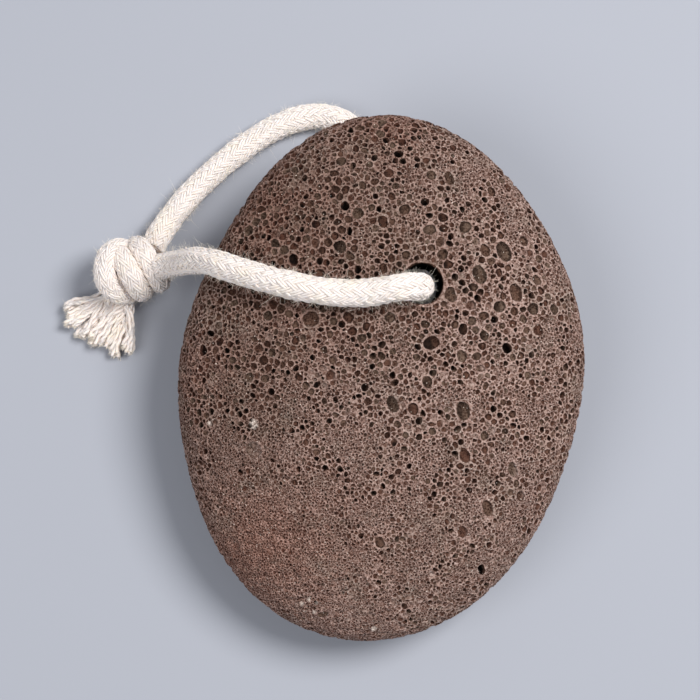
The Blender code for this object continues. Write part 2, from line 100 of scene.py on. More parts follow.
# The largest pores of the face, as they lie: x, y, half width, half height, and how deep and dark they are
FACE_PORES = (
    (0.0030, 0.0398, 0.0009, 0.0008, 0.95),
    (0.0120, 0.0355, 0.0008, 0.0016, 0.50),
    (0.0088, 0.0360, 0.0010, 0.0010, 0.50),
    (-0.0072, 0.0386, 0.0011, 0.0010, 0.50),
    (0.0012, 0.0363, 0.0010, 0.0009, 0.50),
    (0.0076, 0.0312, 0.0009, 0.0008, 0.95),
    (-0.0065, 0.0304, 0.0009, 0.0010, 0.95),
    (-0.0042, 0.0291, 0.0011, 0.0012, 0.50),
    (0.0040, 0.0298, 0.0012, 0.0010, 0.50),
    (0.0002, 0.0276, 0.0009, 0.0014, 0.50),
    (0.0084, 0.0262, 0.0014, 0.0010, 0.50),
    (0.0147, 0.0267, 0.0013, 0.0012, 0.50),
    (0.0182, 0.0226, 0.0010, 0.0014, 0.50),
    (0.0216, 0.0225, 0.0015, 0.0022, 0.50),
    (0.0172, 0.0184, 0.0014, 0.0021, 0.50),
    (0.0237, 0.0152, 0.0012, 0.0021, 0.50),
    (0.0120, 0.0148, 0.0012, 0.0016, 0.50),
    (0.0196, 0.0332, 0.0009, 0.0011, 0.50),
    (0.0253, 0.0244, 0.0009, 0.0011, 0.50),
    (0.0276, 0.0174, 0.0009, 0.0012, 0.50),
    (0.0207, 0.0127, 0.0013, 0.0011, 0.50),
    (0.0276, 0.0086, 0.0010, 0.0012, 0.50),
    (0.0140, 0.0040, 0.0010, 0.0013, 0.50),
    (0.0086, 0.0063, 0.0018, 0.0013, 0.50),
    (0.0220, 0.0054, 0.0009, 0.0011, 0.95),
    (0.0079, -0.0005, 0.0010, 0.0012, 0.50),
    (0.0019, -0.0044, 0.0010, 0.0020, 0.50),
    (0.0054, -0.0052, 0.0010, 0.0013, 0.50),
    (0.0142, -0.0056, 0.0014, 0.0020, 0.50),
    (0.0145, -0.0134, 0.0010, 0.0016, 0.20),
    (0.0231, -0.0160, 0.0009, 0.0019, 0.20),
    (0.0187, -0.0228, 0.0010, 0.0021, 0.20),
    (0.0246, -0.0208, 0.0009, 0.0011, 0.20),
    (0.0142, -0.0270, 0.0010, 0.0013, 0.20),
    (0.0178, -0.0340, 0.0007, 0.0014, 0.95),
    (-0.0318, 0.0050, 0.0009, 0.0012, 0.95),
    (-0.0124, 0.0104, 0.0018, 0.0015, 0.15),
    (-0.0225, -0.0126, 0.0016, 0.0019, 0.05),
    (-0.0250, -0.0165, 0.0005, 0.0006, 0.95),
    (-0.0004, -0.0287, 0.0009, 0.0013, 0.50),
    (-0.0104, -0.0420, 0.0017, 0.0006, 0.50),
)
FACE_TILT = 2.2  # direction of their height, from the local east
# Rounds of smaller pores, largest first: least radius, most radius, darts thrown, share of them on the
# back, and the froth's size below which the round stays away
PORE_ROUNDS = (
    (0.00085, 0.00115, 300, 1.0, 0.86),
    (0.00060, 0.00082, 6000, 1.0, 0.60),
    (0.00042, 0.00060, 22000, 0.9, 0.30),
    (0.00028, 0.00042, 80000, 0.30, 0.0),
    (0.00017, 0.00028, 110000, 0.25, 0.0),
)
PORE_LEAST = 0.00015
PORE_GUIDE = (0.31, 0.95, 0.05)  # each pore's own east is square to this
GUARD_SHARE = 0.9  # how much of a named pore is kept clear of the others
BACK_FROM = -0.002  # height below which a dart counts as on the back
STRAY_SHARE = 0.05  # of a round's pores that are found even where the froth is fine
PACKING = 0.78  # pores keep this share of their two radii apart
WALL_LEAST = 0.00010  # wall between two small pores
WALL_MORE = 0.00004  # and this much more between two large ones
WALL_LARGE = 0.0016  # sum of two radii that counts as large
WALL_THINNEST = 0.7  # of its usual thickness, by chance
WALL_CHANCE = 0.9  # and this much more at most
RIM_NEAREST = 0.25  # share of its radius that a pore keeps beside a much larger one
MOUTH_NEAREST = 0.3  # and beside the hole
MOUTH_CLEARANCE = 0.45  # share of its radius that a pore's middle stays clear of the hole
SWELL_SMALL = 1.75  # how far a small pore may spread past its radius to meet its neighbours
SWELL_LARGE = 1.30
SWELL_MOST = 2.0  # no corner of a rim is further out than this many radii
SWELL_TURN = 0.0011  # radius at which a pore counts as large
CORNERING = 13.0  # power of the pores' rounded polygons: more has sharper corners
OVALNESS = 0.36
# Corners of a rim, up to each radius, and for all larger ones
SIDES_BY_RADIUS = ((0.00021, 5), (0.00030, 6), (0.00042, 7), (0.00070, 9), (0.00100, 12))
SIDES_MOST = 16
RAGGED = 0.12  # how far a rim's corners draw in at random
RIM_LIFT = 0.00004  # unevenness of the wall tops
BROKEN_DEPTH = 0.00019  # how far the most broken walls stand back
BROKEN_LENGTH = 0.0021
# Points on the wider walls, which carry their unevenness: how many are thrown and what they keep clear of
FILL_DARTS = 26000
FILL_ROOM = 0.00013
FILL_FROM_PORE = 0.00010
FILL_FROM_MOUTH = 0.00032
# How coarse the froth of the face is, by place: x, y, size of the pores
FROTH_PLACES = (
    (-0.0273, 0.0087, 0.80),
    (-0.0328, -0.0112, 0.62),
    (-0.0320, -0.0185, 0.45),
    (-0.0237, -0.0330, 0.36),
    (-0.0147, -0.0257, 0.38),
    (-0.0056, -0.0438, 0.40),
    (-0.0110, -0.0130, 0.60),
    (0.0071, -0.0402, 0.62),
    (-0.0002, -0.0239, 0.58),
    (0.0034, -0.0004, 0.82),
    (0.0125, 0.0178, 1.05),
    (0.0225, 0.0130, 1.00),
    (0.0330, 0.0060, 0.72),
    (0.0290, 0.0230, 0.70),
    (0.0180, 0.0360, 0.62),
    (0.0130, -0.0090, 0.76),
    (0.0252, -0.0090, 0.70),
    (0.0216, -0.0230, 0.64),
    (0.0130, -0.0230, 0.60),
    (0.0179, -0.0384, 0.52),
    (0.0016, 0.0377, 0.86),
    (-0.0147, 0.0322, 0.96),
    (-0.0219, 0.0177, 0.98),
    (-0.0129, 0.0087, 0.86),
)
FROTH_REACH = 0.0075
FROTH_FINE = 0.42  # size that counts as fine all over
FROTH_COARSE = 0.80
BACK_SIZE = 1.05
BLEND_DEPTH = 0.014  # depth over which the face's sizes turn into the back's
PATCH_LENGTH = 0.007  # size of the patches of coarser and finer froth
PATCH_CHANGE = 0.26
PATCH_RANGE = (-1.3, 1.0)  # how far a patch may go towards the finer and the coarser
WAVE_COUNT = 16  # waves in one slow random unevenness
WAVE_LENGTHS = (0.7, 1.6)  # their lengths, as shares of its patches
WAVE_SCALE = 2.8  # brings their sum to about -1 to 1
NEAREST_MOST = 0.0056  # two pores further apart than this never touch
STRIP_LENGTH = 500  # points compared at a time

# ---- The pores' insides

# Kinds of pore, as shares of all of them: from the shallowest to the deepest
CLOSED_SHARE = 0.10  # closed just below their rims by a pale skin
SHALLOW_SHARE = 0.30  # shallow or closed
DEEP_SHARE = 0.33
DEEP_LARGEST = 0.00072  # larger ones are never deep, apart from the named ones
SMALL_PORE = 0.00030  # smaller ones that aren't deep are of any depth
# Depth of each kind as a share of the radius
SMALL_DEPTH = (0.7, 1.6)
SHALLOW_DEPTH = 0.52
DEEP_DEPTH = 2.0
BOWL_DEPTH = 0.80
NAMED_DEPTH = 0.75  # of that, for the named pores that aren't deep
DEPTH_MOST = 0.0030
PORE_CHANCE = (0.8, 1.2)  # range of both depth and darkness
PORE_SLANT = 0.24  # how far a pore slants, at random
# Rings between the rim and the bottom, from so many corners on: width and depth of each
BOWL_RINGS = ((12, ((0.97, 0.35), (0.80, 0.82))), (7, ((0.86, 0.62),)), (0, ()))
BOWL_ROUGH = 0.06  # share of the radius
# Painted shade inside the pores: the first value at a rim, and towards 1 a few of the second down
RIM_SHADE = 0.28
HOLLOW_SHADE_DEPTH = 0.0007
# Strength of the painted shade inside each kind of pore
CLOSED_DARK = 0.42
SHALLOW_DARK = 0.80
DEEP_DARK = 1.10
SMALL_DARK_RADIUS = 0.0004  # pores smaller than this get more painted shade
SMALL_DARK_RISE = 0.3  # by this much where the radius nears nothing
SMALL_DARK_MOST = 1.2  # but never more than so many times
TONE_RADIUS = 0.0016  # the larger a pore, the more olive it is
TONE_SHIFT = 0.3
NAMED_DARK = 1.3  # painted shade of the named pores that are deep
WEST_SHADE = 0.40  # painted shade on a pore's west side: how much darker it is
FINE_DARK = 0.25  # how much less painted shade the pores of the fine froth have
SHARP_ANGLE = math.radians(42)  # edges of the stone sharper than this stay crisp
HOLLOW_LOWEST = 0.00015  # the pores' insides stay this far above the ground

# ---- Cord

CORD_RADIUS = 0.0025
CURVE_STEPS = 12
# Routes from inside the hole to the knot, x, y, z
FRONT_ROUTE = (
    (0.00674, 0.01605, 0.0180),
    (0.00645, 0.01540, 0.0230),
    (0.0062, 0.0148, 0.0280),
    (0.0056, 0.0143, 0.0307),
    (0.0040, 0.0140, 0.0326),
    (0.0014, 0.0136, 0.0334),
    (-0.0030, 0.0130, 0.0322),
    (-0.0082, 0.0130, 0.0316),
    (-0.0134, 0.0137, 0.0312),
    (-0.0185, 0.0150, 0.0300),
    (-0.0234, 0.0166, 0.0283),
    (-0.0275, 0.0182, 0.0263),
    (-0.0307, 0.0196, 0.0239),
    (-0.0331, 0.0204, 0.0210),
    (-0.0349, 0.0208, 0.0178),
    (-0.0365, 0.0211, 0.0146),
    (-0.0383, 0.0212, 0.0121),
    (-0.0402, 0.0211, 0.0103),
)
BACK_ROUTE = (
    (0.00676, 0.01610, 0.0176),
    (0.0072, 0.01675, 0.0125),
    (0.0074, 0.0171, 0.0088),
    (0.0075, 0.0176, 0.0060),
    (0.0075, 0.0192, 0.0037),
    (0.0074, 0.0220, 0.0027),
    (0.0068, 0.0255, 0.0026),
    (0.0055, 0.0303, 0.0026),
    (0.0036, 0.0357, 0.0026),
    (0.0010, 0.0415, 0.0026),
    (-0.0020, 0.0466, 0.0026),
    (-0.0056, 0.0502, 0.0026),
    (-0.0100, 0.0517, 0.0026),
    (-0.0146, 0.0511, 0.0026),
    (-0.0200, 0.0488, 0.0026),
    (-0.0257, 0.0449, 0.0026),
    (-0.0313, 0.0400, 0.0026),
    (-0.0360, 0.0351, 0.0026),
    (-0.0397, 0.0301, 0.0029),
    (-0.0421, 0.0258, 0.0036),
)

CARRIERS = 12  # of the braid's yarn groups that run each way round
YARNS = 2  # yarns side by side in each group
BRAID_PITCH = 0.0225  # length of one full turn of a yarn
BRAID_MIDDLE = 0.00210  # radius of the braid between its over and its under yarns
BRAID_SWING = 0.00015  # how far a yarn goes out and in from there
YARN_SPACING = 0.00044
YARN_HALF_WIDTH = 0.00028
YARN_HALF_HEIGHT = 0.00022
YARN_SIDES = 5
OVER_FLATNESS = 1.5  # how long a yarn stays over before it dips under
# Unevenness, each with its waves in radians a metre
CORD_UNEVEN = 0.017
CORD_WAVES = (900, 530)
YARN_WANDER = 0.00003  # how unevenly the yarns are pulled in
WANDER_WAVES = ((1900, 2.4), (1130, 1.7))  # and how differently from yarn to yarn
YARN_SWELL = 0.14  # how unevenly they are spun
SWELL_WAVE = (2600, 3.1)
YARN_STEP = 0.00050
PLY_TURN = 0.0014  # length of one turn of a yarn's plies
FILL_RADIUS = 0.00188  # of the plain cotton inside the braid
FILL_SIDES = 12

# ---- Loose fibres: one stands for several, because real ones are too fine to show

FIBRE_RADIUS = 0.000023
FIBRE_TAPER = 0.6  # share of its radius that a fibre loses by its tip
FIBRE_SIDES = 3
FIBRE_LENGTH = 0.0011
FIBRE_SHORTEST = 0.25  # share of that length
FIBRE_SHORTNESS = 1.6  # more makes more of them short
LONG_FIBRES = 0.06  # share of the fibres that are longer
LONG_FIBRE = 2.2  # and how many times
FIBRE_RISE = (0.3, 2.2)  # how steeply they stand off the cord, against how far they lie along it
FIBRE_CURL = 0.75
FIBRES_EACH_MM = 46
FIBRE_LOWEST = 0.00004  # height over the ground

# ---- Knot

KNOT_MIDDLE = (-0.0456, 0.0207, 0.0063)
KNOT_AXIS = (0.885, 0.466, 0.0)
KNOT_THICKNESS = 0.90  # size of the braid where it is pulled tight
# Along the winding: turn in degrees, place along the axis, place across it, radius of the winding
KNOT_WINDING = (
    (-450, -0.0040, 0.0000, 0.0012),
    (-360, -0.0040, 0.0000, 0.0014),
    (-270, -0.0038, 0.0000, 0.0014),
    (-180, -0.0034, 0.0000, 0.0018),
    (-90, -0.0022, 0.0000, 0.0030),
    (0, -0.0006, 0.0000, 0.0038),
    (90, -0.0005, 0.0000, 0.0040),
    (180, -0.0002, 0.0000, 0.0038),
    (270, 0.0018, 0.0000, 0.0036),
    (360, 0.0030, 0.0002, 0.0034),
    (450, 0.0034, 0.0002, 0.0038),
    (520, 0.0038, 0.0000, 0.0042),
    (590, 0.0034, 0.0000, 0.0030),
    (650, 0.0020, 0.0000, 0.0014),
)
KNOT_PLACES = 400
KNOT_ROUNDING = 20  # places on each side that smooth the winding
# The lobe over the knot's left end, from its middle
KNOT_LOBE = (
    (0.0004, 0.0034, -0.0020),
    (-0.0018, 0.0041, 0.0006),
    (-0.0038, 0.0031, 0.0026),
    (-0.0047, 0.0006, 0.0033),
    (-0.0044, -0.0022, 0.0027),
    (-0.0026, -0.0039, 0.0006),
    (-0.0004, -0.0036, -0.0018),
)

# ---- Frayed ends

# Middle of the root, middle of the tip, and the width at each
FRAYED_ENDS = {
    "frayed_end_left": ((-0.0500, 0.0162), (-0.0563, 0.0106), (0.0050, 0.0090)),
    "frayed_end_right": ((-0.0468, 0.0153), (-0.0498, 0.0066), (0.0052, 0.0074)),
}
CORE_YARNS = 36  # yarns inside the braid, seen only where it comes apart
CORE_RADII = (0.0003, 0.0014)
FRAYED_ROOT_THICKNESS = 0.0046
FRAYED_TIP_THICKNESS = 0.0026
FRAYED_INSIDE = 0.0034  # how far the end starts inside the knot
FRAYED_HEIGHTS = (0.0046, 0.0032, 0.0024, 0.0017)  # from there to the tip
FRAYED_STEP = 0.0003
BRAID_KEPT = 0.95  # size of the braid before it comes apart
LOOSE_FROM = 0.12  # share of the way at which it starts to
LOOSE_OVER = 0.78
LOOSE_BEND = 0.7  # less comes apart sooner
LOOSE_SWELL = 0.25  # how much thicker a loose yarn is than a pulled one
LOCKS = 8  # that the yarns hang together in
LOCK_REACH = 0.90  # share of the width that their middles take
LOCK_CHANCE = 0.07
LOCK_SPREAD = 0.11
LOCK_HEIGHTS = (0.25, 0.95)
LOCK_HEIGHT_CHANCE = 0.22
# Crimp that the braid leaves in a yarn: length of a wave, how far it goes sideways, and how far up
CRIMPS = ((0.0021, 0.00011, 0.00009), (0.0085, 0.00032, 0.00028))
# How unevenly the ends are cut: from lock to lock, from yarn to yarn, and how much shorter at the sides
LOCK_CUT = (-0.12, 0.10)
YARN_CUT = (-0.05, 0.05)
SIDE_CUT = 0.08
CUT_FROM = 0.3
# The small brush of fibres at each cut tip
BRUSH = 12
BRUSH_SPREAD = 0.45
BRUSH_LENGTHS = (0.0003, 0.0009)
BRUSH_WIDTH = 0.00012
BRUSH_THICKNESS = 1.6
BRUSH_TAPER = 0.5
YARN_GAP = 0.00002  # between the lowest yarns and the ground
FRAYED_FIBRES = 1000
FRAYED_FIBRE_LENGTH = 0.0010

# ---- Colours

COTTON_HEX = "F1E4DD"
FLUFF_HEX = "FFFCF6"
COTTON_STAIN_HEX = "F1E3CC"
# painted shade between the yarns and under the loose ones
COTTON_CREASE_SHADE_HEX = "DDC9B9"
WALL_HEX = "987F76"
# The pores' sides: their own browner colour, made darker as painted shade
HOLLOW_HEX = "573C31"
RED_HOLLOW_HEX = "5D382C"
OLIVE_HOLLOW_HEX = "574439"
# painted shade, near black, deep in the pores and the bore
DEEP_SHADE_HEX = "1F110A"
RED_HEX = "8D685B"
# pale mineral grains, and painted highlights on the froth's ridges
GRAIN_AND_GLINT_HEX = "CFC2B8"
GREY_HEX = "8A7A70"
SHADE_TINT = (0.58, 0.545, 0.51, 1.0)  # what the darker places are multiplied by: partly the stone's own darker colour, partly painted shade on its left side and top
FINE_LIGHT = 0.06  # how much paler the fine froth is
WARMTH = (1.0, 1.30, 1.45)  # powers of red, green and blue: the darker a place, the warmer it is, partly as painted warm light bounced inside the pits
FLOOR_HEX = "9CA0AA"

# Places with a redder or a paler stone, and darker places that are partly the stone's own colour and partly
# painted shade on its left side and top: x, y, spread, strength
RED_PLACES = (
    (0.001, 0.046, 0.007, 0.55),
    (-0.020, 0.030, 0.012, 0.5),
    (-0.025, -0.030, 0.012, 0.60),
    (-0.012, -0.030, 0.012, 0.30),
    (-0.034, 0.000, 0.010, 0.4),
    (-0.012, 0.012, 0.008, 0.3),
)
DARK_AND_SHADED_PLACES = (
    (-0.0175, 0.0290, 0.017, 0.75),
    (0.0020, 0.0400, 0.012, 0.40),
    (0.0070, 0.0210, 0.009, 0.40),
    (-0.0240, 0.0060, 0.014, 0.50),
    (-0.0330, -0.0080, 0.010, 0.20),
    (-0.0270, -0.0140, 0.012, 0.20),
    (-0.0180, -0.0060, 0.010, 0.30),
    (0.0000, 0.0080, 0.010, 0.30),
    (0.0060, -0.0250, 0.014, 0.15),
)
PALE_PLACES = (
    (-0.0225, -0.0079, 0.0011, 1.0),
    (-0.0305, -0.0080, 0.0007, 0.9),
    (0.0007, -0.0252, 0.0030, 0.42),
    (-0.0142, -0.0400, 0.0006, 0.9),
    (-0.0136, -0.0414, 0.0005, 0.9),
    (-0.0120, -0.0416, 0.0006, 0.8),
    (-0.0116, -0.0398, 0.0005, 0.9),
    (-0.0129, -0.0391, 0.0006, 0.9),
    (-0.0014, -0.0447, 0.0006, 1.0),
    (-0.0060, -0.0432, 0.0020, 0.45),
    (0.0190, -0.0330, 0.0055, 0.40),
)
TINT_FROM = -0.004  # height below which the stone has none of these

# ---- Sizes of the patterns in the materials

MOTTLE_SIZE = 0.001 / 0.17  # 5.9 mm, patches of greyer stone
GRAIN_SIZE = 0.001 / 2.6  # 0.38 mm; the real grit is finer than would show
BUBBLE_SIZE = 0.001 / 2.8  # 0.36 mm, the finest froth; the real one goes finer than would show
BEND_SIZE = 0.001 / 1.5  # 0.67 mm, over which its bubbles are pushed out of line
BEND = (0.0004, 0.0004, 0.0004)  # and how far
CROWDING_SIZE = 0.001 / 0.42  # 2.4 mm, places where more of them are broken open
PIT_DEPTH = 0.00012  # of the froth that is in the material alone
SPECK_SIZE = 0.001 / 1.5  # 0.67 mm between mineral specks, which are partly painted highlights on the froth's ridges
CRYSTAL_SIZE = 0.001 / 1.5  # 0.67 mm, lumps of the pale patches
PLY_DEPTH = 0.00004  # between the plies of a yarn
SPUN_FIBRE_SIZE = 0.001 / 9.0  # 0.11 mm; single fibres are finer than would show
STAIN_SIZE = 0.001 / 0.26  # 3.8 mm, faint stains on the cord
FLUFF_STAIN_SIZE = 0.001 / 0.7  # 1.4 mm, and on its fibres

# ---- Floor and lights

FLOOR_HALF = 1.2
FLOOR_GAP = 0.00002
# Place, size, power, colour
LIGHTS = {
    "key": ((0.35, 0.17, 0.64), 0.36, 6.5, (1.0, 0.975, 0.945)),
    "fill": ((-0.42, -0.22, 0.60), 0.50, 2.6, (1.0, 0.98, 0.955)),
}
SKY_COLOUR = (0.86, 0.90, 1.0, 1.0)
SKY_STRENGTH = 0.30


# ================================================================ Small tools


UP = np.array((0.0, 0.0, 1.0))


def linear(hex_colour):
    """An sRGB hex colour as linear red, green, blue and alpha."""
    parts = [int(hex_colour[k : k + 2], 16) / 255 for k in (0, 2, 4)]
    return (*[c / 12.92 if c <= 0.04045 else ((c + 0.055) / 1.055) ** 2.4 for c in parts], 1.0)


def unit(vectors):
    """The vectors at a length of 1."""
    return vectors / np.maximum(np.linalg.norm(vectors, axis=-1, keepdims=True), 1e-12)


def smooth_step(x, low, high):
    """0 below low, 1 above high and a smooth rise between."""
    t = np.clip((x - low) / (high - low), 0, 1)
    return t * t * (3 - 2 * t)


def new_piece(name, points, faces, attributes, material):
    """A mesh that rides with the object. faces is a list of arrays, one for each number of corners."""
    mesh = bpy.data.meshes.new(name)
    mesh.vertices.add(len(points))
    mesh.vertices.foreach_set("co", np.asarray(points, np.float32).ravel())
    sizes = np.concatenate([np.full(len(part), part.shape[1]) for part in faces])
    corners = np.concatenate([part.ravel() for part in faces])
    mesh.loops.add(len(corners))
    mesh.loops.foreach_set("vertex_index", corners.astype(np.int32))
    mesh.polygons.add(len(sizes))
    starts = np.concatenate([[0], np.cumsum(sizes)[:-1]])
    mesh.polygons.foreach_set("loop_start", starts.astype(np.int32))
    mesh.update(calc_edges=True)
    for label, (domain, values) in attributes.items():
        layer = mesh.attributes.new(label, "FLOAT", domain)
        layer.data.foreach_set("value", np.asarray(values, np.float32))
    mesh.materials.append(material)
    piece = bpy.data.objects.new(name, mesh)
    bpy.context.scene.collection.objects.link(piece)
    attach(piece, "root")
    return piece


# ================================================================ The stone's form


def outline(theta):
    """Radius of the stone's outline in direction theta, and how fast it changes with theta."""
    radius = np.full_like(theta, OUTLINE_RADIUS)
    slope = np.zeros_like(theta)
    for order, along, across in OUTLINE_WAVES:
        radius = radius + along * np.cos(order * theta) + across * np.sin(order * theta)
        slope = slope + order * (across * np.cos(order * theta) - along * np.sin(order * theta))
    return radius, slope


def height_of(z):
    return np.where(z > 0, FACE_HEIGHT, BACK_HEIGHT)


def onto_form(points):
    """The points moved onto the stone's plain form, along their lines from its middle."""
    x, y, z = points.T
    wide = np.hypot(x, y) / outline(np.arctan2(y, x))[0]
    tall = np.abs(z) / height_of(z)
    return points * ((wide**ROUNDNESS + tall**ROUNDNESS) ** (-1 / ROUNDNESS))[:, None]


def outward(points):
    """Directions straight out of the plain form."""
    x, y, z = points.T
    across = np.maximum(np.hypot(x, y), 1e-9)
    radius, slope = outline(np.arctan2(y, x))
    steep = (across / radius) ** (ROUNDNESS - 1) / radius
    turn = steep * slope / radius
    rise = np.sign(z) * (np.abs(z) / height_of(z)) ** (ROUNDNESS - 1) / height_of(z)
    sideways = np.stack([(steep * x + turn * y) / across, (steep * y - turn * x) / across, rise], 1)
    return unit(sideways)


def face_point(x, y, side=1):
    """Point of the plain form above or below (x, y)."""
    wide = math.hypot(x, y) / float(outline(np.array([math.atan2(y, x)]))[0][0])
    height = FACE_HEIGHT if side > 0 else BACK_HEIGHT
    return np.array((x, y, side * height * (1 - wide**ROUNDNESS) ** (1 / ROUNDNESS)))


def lumps(x, y):
    """Slow unevenness of the faces, in and out."""
    turn = 2 * math.pi / LUMP_LENGTH
    height = np.zeros_like(x)
    for share, (a, b, c), (d, e, f) in LUMP_WAVES:
        height += share * np.sin(turn * (a * x + b * y) + c) * np.sin(turn * (d * x + e * y) + f)
    return LUMP_HEIGHT * height


def leaning():
    """Turns the stone from its own frame to how it lies."""
    across = Vector((HOLE_Y, -HOLE_X, 0)).normalized()
    return Matrix.Rotation(LEAN, 3, across)


def turned(points):
    """Points with the stone's slow lumps, leaning but not yet set on the ground."""
    x, y, z = points.T
    lumpy = np.stack([x, y, z * (1 + lumps(x, y) / height_of(z))], 1)
    return lumpy @ np.array(leaning()).T


def ground_level():
    """Height of the ground under the stone's middle, with its resting patch worn in."""
    phi, theta = np.meshgrid(np.linspace(0.02, 1.2, 300), np.linspace(-math.pi, math.pi, 721))
    wide = np.sin(phi) ** (2 / ROUNDNESS) * outline(theta)[0]
    deep = -BACK_HEIGHT * np.cos(phi) ** (2 / ROUNDNESS)
    points = np.stack([wide * np.cos(theta), wide * np.sin(theta), deep], -1).reshape(-1, 3)
    return turned(points)[:, 2].min() + WORN_DEPTH


GROUND = ground_level()


def placed(points):
    """Points of the stone's own frame, in the row frame."""
    return turned(points) - np.array((0, 0, GROUND))


# ================================================================ Camera


def make_camera():
    """The camera, square to the stone's face."""
    camera = bpy.data.cameras.new("camera")
    camera.lens = CAMERA_LENS
    camera.sensor_width = CAMERA_SENSOR
    camera.clip_start = 0.01
    looker = bpy.data.objects.new("camera", camera)
    bpy.context.scene.collection.objects.link(looker)
    place = leaning() @ Vector(CAMERA_PLACE) - Vector((0, 0, GROUND))
    looker.matrix_world = Matrix.Translation(place) @ leaning().to_4x4()
    bpy.context.scene.camera = looker


# ================================================================ Cotton cord


class Yarns:
    """Tubes of cotton as they are gathered into one mesh."""

    def __init__(self):
        self.points = []
        self.quads = []
        self.caps = {}
        self.twist = []
        self.crown = []
        self.count = 0

    def add(self, lines, away, half_width, half_height, sides, along=None):
        """Closed tubes along lines (tube, station, xyz), flattened across away, the way they face."""
        heading = unit(np.gradient(lines, axis=1))
        wide = unit(np.cross(away, heading))
        high = np.cross(heading, wide)
        turn = 2 * math.pi * np.arange(sides) / sides
        half_width = np.broadcast_to(half_width, lines.shape[:2])[:, :, None, None]
        half_height = np.broadcast_to(half_height, lines.shape[:2])[:, :, None, None]
        ring = lines[:, :, None, :] + half_width * np.cos(turn)[:, None] * wide[:, :, None, :]
        ring = ring + half_height * np.sin(turn)[:, None] * high[:, :, None, :]
        number = self.count + np.arange(ring.shape[0] * ring.shape[1] * sides)
        number = number.reshape(ring.shape[:3])
        start, end = number[:, :-1], number[:, 1:]
        quads = np.stack([start, np.roll(start, -1, 2), np.roll(end, -1, 2), end], -1)
        if along is None:
            along = np.zeros(lines.shape[:2])
        travel = along[:, :, None] * (2 * math.pi / PLY_TURN)
        near = travel[:, :-1] + turn
        far = travel[:, 1:] + turn
        step = 2 * math.pi / sides
        self.twist.append(np.stack([near, near + step, far + step, far], -1).reshape(-1))
        self.crown.append(np.broadcast_to(np.sin(turn), ring.shape[:3]).reshape(-1))
        self.points.append(ring.reshape(-1, 3))
        self.quads.append(quads.reshape(-1, 4))
        ends = np.concatenate([number[:, 0, ::-1], number[:, -1]])
        self.caps.setdefault(sides, []).append(ends)
        self.count += ring.shape[0] * ring.shape[1] * sides

    def finish(self, name, material):
        quads = np.concatenate(self.quads)
        caps = [np.concatenate(parts) for parts in self.caps.values()]
        flat = np.zeros(sum(part.size for part in caps))
        twist = np.concatenate([*self.twist, flat])
        values = {"twist": ("CORNER", twist), "crown": ("POINT", np.concatenate(self.crown))}
        faces = [quads, *caps]
        points = np.concatenate(self.points)
        piece = new_piece(name, points, faces, values, material)
        piece.data.shade_smooth()
        return piece


def smooth_route(route):
    """Close places on a smooth curve through the points of a route."""
    points = [Vector(point) for point in route]
    ends = [2 * points[0] - points[1]] + points + [2 * points[-1] - points[-2]]
    places = []
    for before, start, end, after in zip(ends, ends[1:], ends[2:], ends[3:]):
        for step in range(CURVE_STEPS):
            t = step / CURVE_STEPS
            slope_in = (end - before) / 2
            slope_out = (after - start) / 2
            place = start * (2 * t**3 - 3 * t**2 + 1) + end * (3 * t**2 - 2 * t**3)
            places.append(place + slope_in * (t**3 - 2 * t**2 + t) + slope_out * (t**3 - t**2))
    places.append(points[-1])
    return np.array(places)


class Line:
    """Stations at even steps along a smooth route, with two directions across it that don't twist."""

    def __init__(self, route, step, curve=smooth_route):
        places = curve(route)
        travelled = np.linalg.norm(np.diff(places, axis=0), axis=1)
        along = np.concatenate([[0.0], np.cumsum(travelled)])
        count = int(along[-1] / step) + 2
        self.along = np.linspace(0, along[-1], count)
        self.middle = np.stack([np.interp(self.along, along, places[:, k]) for k in range(3)], 1)
        heading = unit(np.gradient(self.middle, axis=0))
        side = np.zeros_like(heading)
        start = np.cross(heading[0], (0.0, 0.0, 1.0))
        if np.linalg.norm(start) < 0.3:  # it sets out nearly straight up or down
            start = np.cross(heading[0], (0.0, 1.0, 0.0))
        side[0] = unit(start)
        for k in range(1, count):
            side[k] = unit(side[k - 1] - side[k - 1].dot(heading[k]) * heading[k])
        self.heading = heading
        self.side = side
        self.lift = np.cross(heading, side)

    def round(self, angle):
        """Directions across the line at those angles, which are (tube, station)."""
        cos, sin = np.cos(angle)[:, :, None], np.sin(angle)[:, :, None]
        return cos * self.side[None] + sin * self.lift[None]


def braid_pattern(along):
    """Angle and radius of each yarn of the braid at each station.

    Half of the yarn groups run each way round. Each passes over two groups and under two.
    """
    crossings = 2 * CARRIERS * along / BRAID_PITCH
    lay = math.atan(2 * math.pi * BRAID_MIDDLE / BRAID_PITCH)
    angles, radii = [], []
    for way in (1, -1):
        for carrier in range(CARRIERS):
            if way > 0:
                wave = np.cos(math.pi / 2 * (crossings + 2 * carrier - 0.5))
            else:
                wave = -np.cos(math.pi / 2 * (2 * carrier - crossings - 0.5))
            for yarn in range(YARNS):
                aside = (yarn - (YARNS - 1) / 2) * YARN_SPACING / (BRAID_MIDDLE * math.cos(lay))
                start = 2 * math.pi * carrier / CARRIERS + aside
                angles.append(start + way * 2 * math.pi * along / BRAID_PITCH)
                radii.append(BRAID_MIDDLE + BRAID_SWING * np.tanh(OVER_FLATNESS * wave))
    return np.array(angles), np.array(radii)


